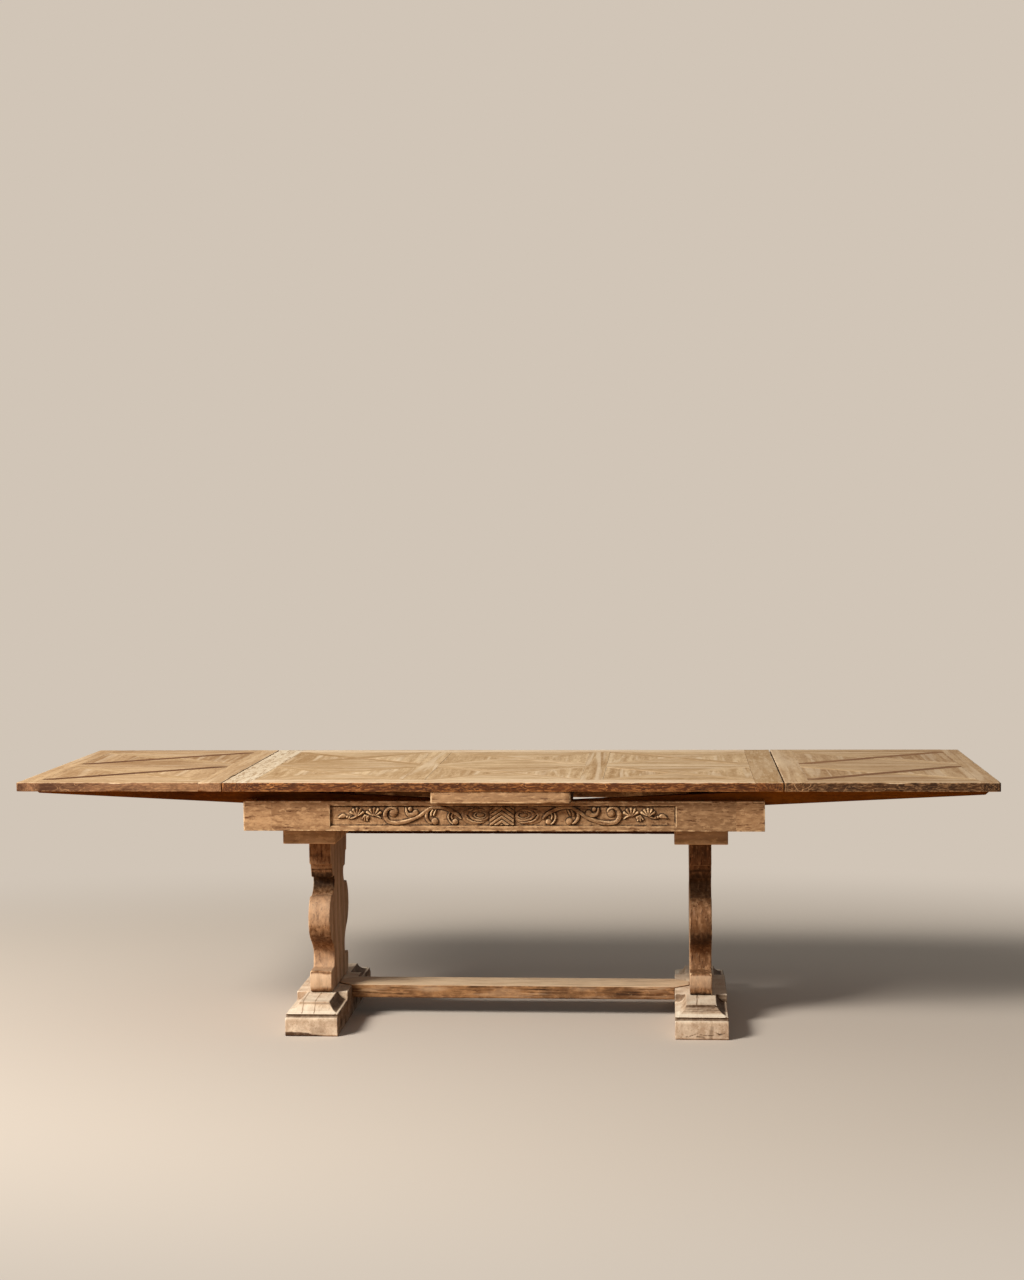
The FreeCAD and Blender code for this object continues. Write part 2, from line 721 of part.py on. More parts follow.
def make_frame():
    """Aprons, posts, end rails, corner blocks, guide cleats and the centre board."""
    holes = make_centre_board()
    make_apron("front_apron", False, holes[-1])
    make_apron("back_apron", True, holes[-1])
    for side in ("left", "right"):
        make_end_rail(side)

    posts, corner_blocks, cleats = [], [], []
    block_inner_side = FRAME_INNER_SIDE - S["corner_block_width"]
    block_inner_end = FRAME_INNER_END - S["corner_block_width"]
    block_top = FRAME_UNDER + S["corner_block_height"]
    cleat_far = INNER_LOPER - S["loper_thickness"] / 2 - S["loper_side_clearance"]
    cleat_near = cleat_far - S["cleat_thickness"]
    for row, row_name in ((-1, "front"), (1, "back")):
        cleats.append(block(
            f"{row_name}_cleat",
            (-CENTRE_BOARD_HALF, cleat_near if row > 0 else -cleat_far, FRAME_TOP - S["cleat_depth"]),
            (CENTRE_BOARD_HALF, cleat_far if row > 0 else -cleat_near, FRAME_TOP)))
        for column, column_name in ((-1, "left"), (1, "right")):
            name = f"{row_name}_{column_name}"
            posts.append(block(
                f"{name}_post",
                (APRON_END if column > 0 else -FRAME_END,
                 FRAME_INNER_SIDE if row > 0 else -FRAME_SIDE, FRAME_UNDER),
                (FRAME_END if column > 0 else -APRON_END,
                 FRAME_SIDE if row > 0 else -FRAME_INNER_SIDE, FRAME_TOP)))
            corner_blocks.append(block(
                f"{name}_block",
                (block_inner_end if column > 0 else -FRAME_INNER_END,
                 block_inner_side if row > 0 else -FRAME_INNER_SIDE, FRAME_UNDER),
                (FRAME_INNER_END if column > 0 else -block_inner_end,
                 FRAME_INNER_SIDE if row > 0 else -block_inner_side, block_top)))
    keep("corner_posts", group("corner_posts", posts))
    keep("corner_blocks", group("corner_blocks", corner_blocks))
    keep("guide_cleats", group("guide_cleats", cleats))


# The parquetry of the top and the leaves

def cell_points(left, right, low, high):
    """A function from shares of a cell to a point of its outline."""
    width = right - left
    height = high - low

    def point(x_share, y_share):
        return left + width * x_share, low + height * y_share, "line"

    return point


def cell_laths(left, right, low, high):
    """Outlines of the long diagonal lath of a cell and the two short ones that meet it."""
    at = cell_points(left, right, low, high)
    near = LATH_SHARE
    far = 1 - near
    middle = MIDDLE_SHARE
    before, after = middle - near, middle + near
    return [
        [at(0, 0), at(near, 0), at(1, far), at(1, 1), at(far, 1), at(0, near)],
        [at(1, 0), at(1, near), at(after, middle), at(middle, before), at(far, 0)],
        [at(0, 1), at(0, far), at(before, middle), at(middle, after), at(near, 1)],
    ]


def cell_panels(left, right, low, high):
    """Outlines of the four triangles that the laths leave in a cell."""
    at = cell_points(left, right, low, high)
    near = LATH_SHARE
    far = 1 - near
    middle = MIDDLE_SHARE
    before, after = middle - near, middle + near
    return [
        [at(near, 0), at(far, 0), at(middle, before)],
        [at(1, near), at(1, far), at(after, middle)],
        [at(near, 1), at(middle, after), at(far, 1)],
        [at(0, near), at(before, middle), at(0, far)],
    ]


def make_field(name, left, right, turned=False):
    """The laths and panels of one field, which a middle rail parts into two cells."""
    half_rail = S["mid_rail_width"] / 2
    cells = ((left, right, -FIELD_SIDE, -half_rail), (left, right, half_rail, FIELD_SIDE))
    laths, panels = [], []
    for cell in cells:
        laths += cell_laths(*cell)
        panels += cell_panels(*cell)
    keep(f"{name}_laths", inlay(f"{name}_laths", laths, CORE_TOP, TOP_FACE), turned)
    keep(f"{name}_panels", inlay(f"{name}_panels", panels, CORE_TOP, TOP_FACE), turned)


def make_pegs():
    """The two pegs that drop into the centre board, and the holes that they fill in the core."""
    pegs, holes = [], []
    low = TOP_UNDER - S["peg_length"]
    shoulder = low + S["peg_nose"]
    for way, end in ((-1, "front"), (1, "back")):
        y = S["peg_place"] * way
        nose = doc.addObject("Part::Cone", f"{end}_peg_nose")
        nose.setExpression("Radius1", (S["peg_radius"] - S["peg_nose"]).text)
        nose.setExpression("Radius2", S["peg_radius"].text)
        nose.setExpression("Height", S["peg_nose"].text)
        nose.setExpression("Placement.Base.y", y.text)
        nose.setExpression("Placement.Base.z", low.text)
        stem = rod(f"{end}_peg_stem", ZERO, y, shoulder, CORE_TOP, S["peg_radius"])
        pegs.append(joined(f"{end}_peg", [nose, stem]))
        holes.append(rod(f"{end}_peg_socket", ZERO, y, TOP_UNDER - S["overrun"],
                         CORE_TOP + S["overrun"], S["peg_radius"]))
    return pegs, holes


def make_top():
    """The fixed top: end boards, borders, cross bands, middle rails, parquetry, core and pegs."""
    field_end = TOP_END - S["top_end_width"]
    for side, turned in (("right", False), ("left", True)):
        board(f"top_{side}_end", (field_end, -TOP_SIDE, TOP_UNDER),
              (TOP_END, TOP_SIDE, TOP_FACE), turned)
    for side, turned in (("front", False), ("back", True)):
        board(f"top_{side}_border", (-field_end, -TOP_SIDE, TOP_UNDER),
              (field_end, -FIELD_SIDE, TOP_FACE), turned)
    band_near = S["cross_band_place"] - S["cross_band_width"] / 2
    band_far = S["cross_band_place"] + S["cross_band_width"] / 2
    for side, turned in (("right", False), ("left", True)):
        board(f"top_{side}_band", (band_near, -FIELD_SIDE, CORE_TOP),
              (band_far, FIELD_SIDE, TOP_FACE), turned)

    half_rail = S["mid_rail_width"] / 2
    fields = (("left", -field_end, -band_far), ("centre", -band_near, band_near),
              ("right", band_far, field_end))
    rails = []
    for name, left, right in fields:
        make_field(f"top_{name}", left, right)
        rails.append(block(f"{name}_mid_rail", (left, -half_rail, CORE_TOP),
                           (right, half_rail, TOP_FACE)))
    keep("top_mid_rails", group("top_mid_rails", rails))

    pegs, sockets = make_pegs()
    core = block("top_core_blank", (-field_end, -FIELD_SIDE, TOP_UNDER),
                 (field_end, FIELD_SIDE, CORE_TOP))
    keep("top_core", cut("top_core", core, sockets))
    keep("top_pegs", group("top_pegs", pegs))


def make_leaf(side):
    """A drawn-out leaf with its parquetry and the two lopers screwed under it."""
    turned = side == "left"
    field_near = LEAF_NEAR + S["leaf_inner_width"]
    field_far = LEAF_FAR - S["leaf_outer_width"]
    half_rail = S["mid_rail_width"] / 2
    name = f"{side}_leaf"
    board(f"{name}_inner_end", (LEAF_NEAR, -TOP_SIDE, TOP_UNDER),
          (field_near, TOP_SIDE, TOP_FACE), turned)
    board(f"{name}_outer_end", (field_far, -TOP_SIDE, TOP_UNDER),
          (LEAF_FAR, TOP_SIDE, TOP_FACE), turned)
    near_border, far_border = ("back", "front") if turned else ("front", "back")
    board(f"{name}_{near_border}_border", (field_near, -TOP_SIDE, TOP_UNDER),
          (field_far, -FIELD_SIDE, TOP_FACE), turned)
    board(f"{name}_{far_border}_border", (field_near, FIELD_SIDE, TOP_UNDER),
          (field_far, TOP_SIDE, TOP_FACE), turned)
    board(f"{name}_mid_rail", (field_near, -half_rail, CORE_TOP),
          (field_far, half_rail, TOP_FACE), turned)
    make_field(name, field_near, field_far, turned)

    first = field_near + S["loper_screw_inset"]
    last = field_far - S["loper_screw_inset"]
    screws, all_holes, stops = [], [], []
    for end, middle in loper_rows(side):
        holes = []
        for number, share in enumerate(LOPER_SCREW_SHARES, start=1):
            place = first + (last - first) * share
            screw, hole = sunk_screw(f"{side}_{end}_loper_{number}", place, middle,
                                     loper_under_at(place), TOP_UNDER + S["screw_hold"], True)
            screws.append(screw)
            holes.append(hole)
        all_holes += holes
        tail = S["loper_tail_place"]
        nose = LOPER_END - S["loper_nose_length"]
        outline = [
            (tail, loper_under_at(tail), "line"),
            (nose, loper_under_at(nose), "line"),
            (LOPER_END, loper_under_at(nose) + S["loper_nose_height"], "line"),
            (LOPER_END, TOP_UNDER, "line"),
            (LEAF_NEAR, TOP_UNDER, "line"),
            (LEAF_NEAR, loper_top_at(LEAF_NEAR), "line"),
            (tail, loper_top_at(tail), "line"),
        ]
        start = -middle - S["loper_thickness"] / 2
        body = profile_body(
            f"{side}_{end}_loper_body", "XZ_Plane", outline, start, S["loper_thickness"])
        keep(f"{name}_{end}_loper", cut(f"{side}_{end}_loper", body, holes), turned)

        stop_far = FRAME_INNER_END - S["stop_clearance"]
        stop_near = stop_far - S["stop_length"]
        stop_outline = [
            (stop_near, loper_under_at(stop_near) - S["stop_height"], "line"),
            (stop_far, loper_under_at(stop_far) - S["stop_height"], "line"),
            (stop_far, loper_under_at(stop_far), "line"),
            (stop_near, loper_under_at(stop_near), "line"),
        ]
        stops.append(profile_body(
            f"{side}_{end}_stop", "XZ_Plane", stop_outline, start, S["loper_thickness"]))
    core = block(f"{name}_core_blank", (field_near, -FIELD_SIDE, TOP_UNDER),
                 (field_far, FIELD_SIDE, CORE_TOP))
    keep(f"{name}_core", cut(f"{name}_core", core, all_holes), turned)
    keep(f"{name}_loper_screws", group(f"{name}_loper_screws", screws), turned)
    keep(f"{name}_loper_stops", group(f"{name}_loper_stops", stops), turned)


def check_and_write():
    """Stops on any failed object or bad shape, then writes a file for each piece."""
    doc.recompute()
    for item in doc.Objects:
        if "Invalid" in item.State or "Error" in item.State:
            raise RuntimeError(f"{item.Name} failed: {item.State}")
    for item in pieces:
        if item.Shape.isNull() or not item.Shape.isValid() or not item.Shape.Solids:
            raise RuntimeError(f"{item.Label} has no valid solid")
    for item in pieces:
        item.Shape.exportStep(f"parts/{item.Label}.step")
    print(len(pieces), "pieces written")


make_trestles()
make_long_rails()
make_frame()
make_top()
make_leaf("left")
make_leaf("right")
check_and_write()
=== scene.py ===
import functools
import json
import math

import bmesh
import bpy
import numpy as np
from bpy.props import FloatProperty, FloatVectorProperty, IntProperty, PointerProperty
from mathutils import Matrix, Vector


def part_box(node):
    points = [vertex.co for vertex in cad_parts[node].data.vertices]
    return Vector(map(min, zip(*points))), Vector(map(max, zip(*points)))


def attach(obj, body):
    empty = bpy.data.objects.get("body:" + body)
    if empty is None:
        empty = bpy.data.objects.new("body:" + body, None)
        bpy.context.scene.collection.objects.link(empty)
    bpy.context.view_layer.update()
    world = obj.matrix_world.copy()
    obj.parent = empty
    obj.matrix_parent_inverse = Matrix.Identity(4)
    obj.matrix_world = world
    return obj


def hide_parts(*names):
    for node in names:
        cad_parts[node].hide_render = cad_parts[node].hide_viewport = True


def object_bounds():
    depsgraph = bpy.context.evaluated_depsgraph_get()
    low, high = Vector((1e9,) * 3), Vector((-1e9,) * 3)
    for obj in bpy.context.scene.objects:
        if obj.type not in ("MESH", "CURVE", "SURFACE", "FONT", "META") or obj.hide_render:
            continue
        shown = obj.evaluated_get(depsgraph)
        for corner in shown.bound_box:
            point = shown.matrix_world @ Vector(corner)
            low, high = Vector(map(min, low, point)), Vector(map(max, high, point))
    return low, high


# An old draw-leaf table in oak: worn boards, inlaid parquetry, carved aprons and sledge feet,
# dressed round the construction model. Metres, +Z up, +X along the table, the front at -Y.

bl_info = {
    "name": "Draw-leaf oak table",
    "version": (1, 0, 0),
    "blender": (4, 5, 0),
    "location": "View3D > Sidebar > Oak table",
    "description": "Makes the worn boards, the parquetry, the carving and the stage of the table",
    "category": "Object",
}

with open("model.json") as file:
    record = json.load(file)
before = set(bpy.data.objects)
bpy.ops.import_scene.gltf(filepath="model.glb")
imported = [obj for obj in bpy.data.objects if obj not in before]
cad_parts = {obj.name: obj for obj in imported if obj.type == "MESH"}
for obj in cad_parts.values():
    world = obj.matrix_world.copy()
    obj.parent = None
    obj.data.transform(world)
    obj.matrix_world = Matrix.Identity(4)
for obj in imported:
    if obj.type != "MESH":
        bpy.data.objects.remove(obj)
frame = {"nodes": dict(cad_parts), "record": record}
MODEL_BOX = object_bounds()

MM = 0.001
TOP_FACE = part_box("top_front_border")[1].z
GROUND_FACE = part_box("top_core")[1].z
# Directions of the grain: along the table, across it and upright
ALONG, ACROSS, UPRIGHT = 0, 1, 2
# Furthest shift of a piece's grain, in metres, so that no two pieces match
GRAIN_SHIFT = 9


def shade(red, green, blue):
    """A colour as it is seen on screen, turned into the linear numbers that a shader takes."""
    def linear(value):
        share = value / 255
        return share / 12.92 if share <= 0.04045 else ((share + 0.055) / 1.055) ** 2.4
    return (linear(red), linear(green), linear(blue))


def colour(name, description, red, green, blue):
    return FloatVectorProperty(name=name, description=description, subtype="COLOR", size=3,
                               min=0, max=1, default=shade(red, green, blue))


def length(name, description, millimetres):
    return FloatProperty(name=name, description=description, unit="LENGTH", min=0,
                         default=millimetres * MM)


class OakColours(bpy.types.PropertyGroup):
    """Colours of the wood and metal."""
    scrubbed: colour("Scrubbed oak", "The pale tan of the fixed top", 233, 203, 160)
    scrubbed_dark: colour("Scrubbed oak figure", "The darker figure in the fixed top", 174, 136, 90)
    leaf: colour("Leaf oak", "The tan of the leaves", 222, 188, 144)
    leaf_dark: colour("Leaf oak figure", "The darker figure in the leaves", 162, 122, 80)
    lath: colour("Dark lath", "The brown laths of the leaves", 144, 96, 54)
    lath_dark: colour("Dark lath figure", "The figure in the brown laths", 94, 56, 26)
    bleached: colour("Bleached oak", "The cream of the feet", 224, 202, 174)
    bleached_dark: colour("Bleached oak figure", "The figure in the feet", 176, 148, 120)
    frame: colour("Frame oak", "The tan of the aprons", 190, 152, 110)
    frame_dark: colour("Frame oak figure", "The darker figure in the aprons", 136, 100, 66)
    leg: colour("Leg oak", "The brown of the legs", 176, 134, 96)
    leg_dark: colour("Leg oak figure", "The darker figure in the legs", 116, 78, 48)
    varnish: colour("Varnished edge", "The old varnish on the edges of the boards", 120, 66, 28)
    varnish_dark: colour("Varnished edge figure", "The darkest of the old varnish", 64, 32, 12)
    bearer: colour("Bearer oak", "The honey colour of the sloping bearers", 158, 96, 22)
    bearer_dark: colour("Bearer oak figure", "The red brown of the bearers", 84, 40, 8)
    worn: colour("Worn arris", "Bare wood where an edge is rubbed", 226, 190, 148)
    whitish: colour("Whitish wear", "Bleached streaks and rubbed places of the top", 236, 212, 178)
    # Grime is also painted shade: the materials darken hollows and recesses with it
    grime: colour("Grime", "Dirt in the hollows and joints", 44, 28, 17)
    steel: colour("Steel", "Screws and bolts", 128, 122, 114)
    rust: colour("Rust", "Brown bloom on the screws and bolts", 92, 62, 42)


class BoardSizes(bpy.types.PropertyGroup):
    """Sizes of the wear on the boards."""
    arris: length("Arris", "Radius of a rubbed edge", 1.3)
    band: length("Wear band", "How far the wear runs in from an edge", 4.5)
    step: length("Step", "Distance between the points along a board", 11.0)
    dent: length("Dent", "Deepest dent in an edge", 0.7)
    joint: length("Joint", "Width of the open joints between boards", 0.2)
    chamfer: length("Chamfer", "Rubbed edge of the laths and panels", 0.6)
    leg_grid: length("Leg grid", "Fineness of the legs and bolsters", 2.6)
    foot_grid: length("Foot grid", "Fineness of the feet and the stretcher", 2.1)
    seed: IntProperty(name="Seed", description="Fixes the random grain and dents of the top and leaves",
                      default=7)


class CarvingSizes(bpy.types.PropertyGroup):
    """Sizes of the carving in the aprons."""
    grid: length("Grid", "Distance between the points of the carved face", 1.2)
    ground: length("Ground", "Depth of the sunk ground under the apron's face", 8.6)
    relief: length("Relief", "How far the carving stands over its ground", 8.0)
    slope: length("Slope", "Width of the sloping edge round the sunk panel", 1.6)
    margin: length("Upper margin", "Plain wood above the sunk panel", 12.5)
    lower_margin: length("Lower margin", "Plain wood below the bead under the panel", 8.5)
    bead: length("Bead", "Height of the rounded bead under the sunk panel", 6.5)


class StageSettings(bpy.types.PropertyGroup):
    """Camera, lamps and floor."""
    place: FloatVectorProperty(name="Camera place", description="Where the camera stands",
                               subtype="TRANSLATION", unit="LENGTH", default=(0.4879, -6.382, 1.4691))
    turn: FloatProperty(name="Turn", description="Camera turned to the left", subtype="ANGLE",
                        default=math.radians(4.340))
    tilt: FloatProperty(name="Tilt", description="Camera tilted down", subtype="ANGLE",
                        default=math.radians(2.920))
    roll: FloatProperty(name="Roll", description="Camera rolled about its own axis", subtype="ANGLE",
                        default=math.radians(-0.510))
    lens: FloatProperty(name="Lens", description="Focal length in millimetres", default=59.21)
    floor: colour("Floor", "Colour of the floor", 201, 190, 177)
    bounce: colour("Floor bounce", "Colour of the light that the floor throws back", 168, 134, 104)
    backdrop: colour("Backdrop", "Colour that is seen behind the table", 209, 197, 183)
    key: FloatProperty(name="Key lamp", description="Power of the soft lamp on the left", default=1220)
    fill: FloatProperty(name="Fill lamp", description="Power of the soft lamp on the right", default=7)
    sky: FloatProperty(name="Sky", description="Strength of the even light all round", default=0.25)
    clear: length("Clear floor", "How far round the table the floor keeps its shadows", 1250.0)
    far: length("Far floor", "Where the floor has gone over into the backdrop", 2900.0)


# Meshes

def ripple(points, wavelength, seed, waves=9):
    """Smooth random waves from -1 to 1 over points in space, the same on every run."""
    rng = np.random.default_rng(seed)
    total = np.zeros(len(points))
    for _ in range(waves):
        direction = rng.normal(size=3)
        direction /= np.linalg.norm(direction)
        turns = 2 * math.pi / (wavelength * rng.uniform(0.6, 1.6))
        total += np.sin(points @ direction * turns + rng.uniform(0, 2 * math.pi))
    return np.clip(total / math.sqrt(waves) / 1.6, -1, 1)


def smooth(value, low, high):
    """A share from 0 to 1 that rises smoothly between two values."""
    share = np.clip((value - low) / (high - low), 0, 1)
    return share * share * (3 - 2 * share)


def new_object(name, vertices, faces):
    mesh = bpy.data.meshes.new(name)
    mesh.from_pydata([tuple(v) for v in vertices], [], [tuple(int(i) for i in f) for f in faces])
    mesh.validate()
    piece = bpy.data.objects.new(name, mesh)
    bpy.context.scene.collection.objects.link(piece)
    return piece


def points_of(piece, field="co"):
    """The points of a piece's mesh, or their normals, as an array."""
    values = np.empty(len(piece.data.vertices) * 3)
    piece.data.vertices.foreach_get(field, values)
    return values.reshape(-1, 3)


def store(piece, name, values, kind="FLOAT"):
    """Keeps a value for each point of a mesh, for the materials to read."""
    attribute = piece.data.attributes.get(name) or piece.data.attributes.new(name, kind, "POINT")
    field = "vector" if kind == "FLOAT_VECTOR" else "value"
    attribute.data.foreach_set(field, np.asarray(values, np.float32).ravel())


def store_grain(piece, points, centre, grain_axis, seed):
    """Keeps each point's place along and across the grain, and one tone for the whole piece."""
    rng = np.random.default_rng(seed)
    order = [grain_axis] + [axis for axis in (ALONG, ACROSS, UPRIGHT) if axis != grain_axis]
    local = (points - centre)[:, order] + rng.uniform(-GRAIN_SHIFT, GRAIN_SHIFT, 3)
    store(piece, "grain", local, "FLOAT_VECTOR")
    store(piece, "tone", np.full(len(points), rng.uniform(0, 1)))


def dress(piece, body, material, slot, *nodes, soft=True):
    """Gives a finished piece its material and its body, and hides the nodes that it stands for."""
    piece.data.materials.clear()
    piece.data.materials.append(bpy.data.materials[material])
    for face in piece.data.polygons:
        face.use_smooth = soft
    piece.data.update()
    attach(piece, body)
    if nodes:
        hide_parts(*nodes)
    return piece


def joined(name, pieces):
    """One object from several, with their attributes."""
    first = pieces[0]
    if len(pieces) > 1:
        with bpy.context.temp_override(active_object=first, object=first, selected_objects=pieces,
                                       selected_editable_objects=pieces):
            bpy.ops.object.join()
    first.name = name
    first.data.name = name
    return first


def body_of(node):
    """The body that holds a node."""
    bodies = frame["record"]["behaviour"]["bodies"]
    return next(body for body, nodes in bodies.items() if node in nodes)


def merged_copy(node, whole_faces=True):
    """A closed mesh of a node, with its flat faces whole or left in triangles."""
    mesh = bmesh.new()
    mesh.from_mesh(frame["nodes"][node].data)
    bmesh.ops.remove_doubles(mesh, verts=mesh.verts, dist=0.01 * MM)
    if whole_faces:
        bmesh.ops.dissolve_limit(mesh, angle_limit=math.radians(0.5), verts=mesh.verts, edges=mesh.edges)
    return mesh


@functools.cache
def solid_boxes(node):
    """The low and high corners of each separate solid of a node."""
    mesh = merged_copy(node)
    left = set(mesh.verts)
    boxes = []
    while left:
        found = {left.pop()}
        edge = list(found)
        while edge:
            for link in edge.pop().link_edges:
                for vertex in link.verts:
                    if vertex in left:
                        left.discard(vertex)
                        found.add(vertex)
                        edge.append(vertex)
        points = np.array([v.co for v in found])
        boxes.append((points.min(0), points.max(0)))
    mesh.free()
    return sorted(boxes, key=lambda box: tuple(np.round(box[0], 4)))


def grid_stops(low, high, radius, band, step):
    """Places of the grid along one axis: close at both arrises and a step apart between them."""
    start, end = low + radius + band, high - radius - band
    if end <= start:
        start = end = (low + high) / 2
    count = max(1, round((end - start) / step))
    middle = np.linspace(start, end, count + 1) if end > start else np.array([start])
    near = [low, low + radius / 2, low + radius]
    far = [high - radius, high - radius / 2, high]
    return np.concatenate([near, middle, far])


def box_grid(stops):
    """Points and outward faces of a box whose six sides are grids at the given places."""
    shape = tuple(len(places) for places in stops)
    surface = np.ones(shape, bool)
    surface[1:-1, 1:-1, 1:-1] = False
    index = np.full(shape, -1)
    index[surface] = np.arange(surface.sum())
    points = np.stack(np.meshgrid(*stops, indexing="ij"), -1)[surface]
    faces = []
    for axis in range(3):
        for end in (0, -1):
            sheet = np.take(index, end, axis=axis)
            quads = np.stack([sheet[:-1, :-1], sheet[1:, :-1], sheet[1:, 1:], sheet[:-1, 1:]], -1)
            quads = quads.reshape(-1, 4)
            outward = (end == -1) != (axis == 1)
            faces.append(quads if outward else quads[:, ::-1])
    return points, np.concatenate(faces)


def arris_share(points, low, high, radius, band):
    """How near each point of a box is to an arris, from 0 to 1."""
    away = np.minimum(points - low, high - points)
    near = np.clip(1 - (away - radius) / band, 0, 1)
    return np.sort(near, axis=1)[:, 1]


def rounded(points, low, high, radius):
    """Points of a box with its arrises rounded, and the outward direction of each."""
    core = np.clip(points, low + radius, high - radius)
    out = points - core
    reach = np.maximum(np.linalg.norm(out, axis=1), 1e-9)[:, None]
    return core + out / reach * radius, out / reach


def free_sides(low, high, others):
    """Which of a board's six sides are open, and which meet another board edge to edge."""
    free = np.ones((3, 2), bool)
    for other_low, other_high in others:
        over = np.minimum(high, other_high) - np.maximum(low, other_low)
        for axis in range(3):
            if np.delete(over, axis).min() > 2 * MM and abs(over[axis]) < MM:
                free[axis, int(other_low[axis] > low[axis])] = False
    return free


def worn_board(name, low, high, seed, grain_axis=None, relief=None, stops=None, free=None):
    """A board with rubbed and dented arrises; relief(points, flat) cuts its face further in."""
    sizes = bpy.context.scene.board_sizes
    low, high = np.array(low, float), np.array(high, float)
    free = np.ones((3, 2), bool) if free is None else free
    extent = high - low
    radius = min(sizes.arris, extent.min() / 5)
    band = min(sizes.band, extent.min() / 5)
    if stops is None:
        stops = [grid_stops(low[i], high[i], radius, band, sizes.step) for i in range(3)]
    flat, faces = box_grid(stops)
    open_low, open_high = low - (1 - free[:, 0]), high + (1 - free[:, 1])
    edge = arris_share(flat, open_low, open_high, radius, band)
    points, out = rounded(flat, open_low, open_high, radius)
    long_dents = smooth(ripple(flat, 0.11, seed), 0.1, 1.0)
    short_dents = smooth(ripple(flat, 0.028, seed + 1), 0.35, 1.0)
    dents = sizes.dent * edge * np.clip(long_dents + short_dents, 0, 1)
    inward = np.sign((low + high) / 2 - points) * (np.abs(out) > 0.2)
    points = points + inward * dents[:, None]
    gap = sizes.joint / 2
    points = np.clip(points, low + gap * (1 - free[:, 0]), high - gap * (1 - free[:, 1]))
    if relief is not None:
        points = relief(points, flat)
    piece = new_object(name, points, faces)
    if grain_axis is None:
        grain_axis = int(np.argmax(extent))
    store_grain(piece, flat, (low + high) / 2, grain_axis, seed)
    store(piece, "edge", edge)
    return piece


def board_node(node, seed, grain_axis=None, material="Frame oak", slot="frame_oak", beside=()):
    """Worn boards in the place of every solid of a node; beside names what they are joined to."""
    boxes = solid_boxes(node)
    others = [box for other in beside for box in solid_boxes(other)]
    pieces = []
    for number, (low, high) in enumerate(boxes):
        pieces.append(worn_board(f"{node}_{number}", low, high, seed + number * 13, grain_axis,
                                 free=free_sides(low, high, others)))
    piece = joined(f"{node}_worn", pieces)
    return dress(piece, body_of(node), material, slot, node)


def sharp_edges(mesh):
    """Convex edges that meet at a clear angle."""
    return [e for e in mesh.edges
            if e.is_manifold and e.calc_face_angle_signed(0) > math.radians(20)]


def bevelled_node(node, seed, grain_axis, material, slot, radius, worn_width=3 * MM):
    """A copy of a node with its convex edges rubbed round and a band of wear beside them."""
    mesh = merged_copy(node)
    bmesh.ops.bevel(mesh, geom=sharp_edges(mesh), offset=radius, segments=2, profile=0.5,
                    affect="EDGES", clamp_overlap=True)
    bmesh.ops.dissolve_degenerate(mesh, edges=mesh.edges, dist=0.005 * MM)
    wide = [f for f in mesh.faces if f.calc_area() > (20 * MM) ** 2]
    bmesh.ops.inset_individual(mesh, faces=wide, thickness=worn_width, use_even_offset=True)
    mesh.verts.index_update()
    inner = {v.index for f in wide for v in f.verts}
    bmesh.ops.triangulate(mesh, faces=[f for f in mesh.faces if len(f.verts) > 4])
    piece = new_object(f"{node}_worn", [], [])
    mesh.to_mesh(piece.data)
    mesh.free()
    points = np.array([v.co for v in piece.data.vertices])
    store_grain(piece, points, points.mean(0), grain_axis, seed)
    store(piece, "edge", [0.0 if i in inner else 1.0 for i in range(len(points))])
    return dress(piece, body_of(node), material, slot, node)


def applied(piece):
    """Turns a piece and its modifiers into a plain mesh."""
    evaluated = piece.evaluated_get(bpy.context.evaluated_depsgraph_get())
    data = bpy.data.meshes.new_from_object(evaluated)
    piece.modifiers.clear()
    piece.data = data
    return piece


def curvature(points, edges, normals, rounds):
    """How sharply the surface turns at each point, above 0 on arrises and below 0 in hollows."""
    def mean_of_neighbours(values):
        total = np.zeros_like(values)
        count = np.zeros(len(points))
        np.add.at(total, edges[:, 0], values[edges[:, 1]])
        np.add.at(total, edges[:, 1], values[edges[:, 0]])
        np.add.at(count, edges[:, 0], 1)
        np.add.at(count, edges[:, 1], 1)
        return total / np.maximum(count, 1).reshape((-1,) + (1,) * (values.ndim - 1))

    turn = -np.einsum("ij,ij->i", mean_of_neighbours(points) - points, normals)
    for _ in range(rounds):
        turn = (turn + mean_of_neighbours(turn)) / 2
    return turn


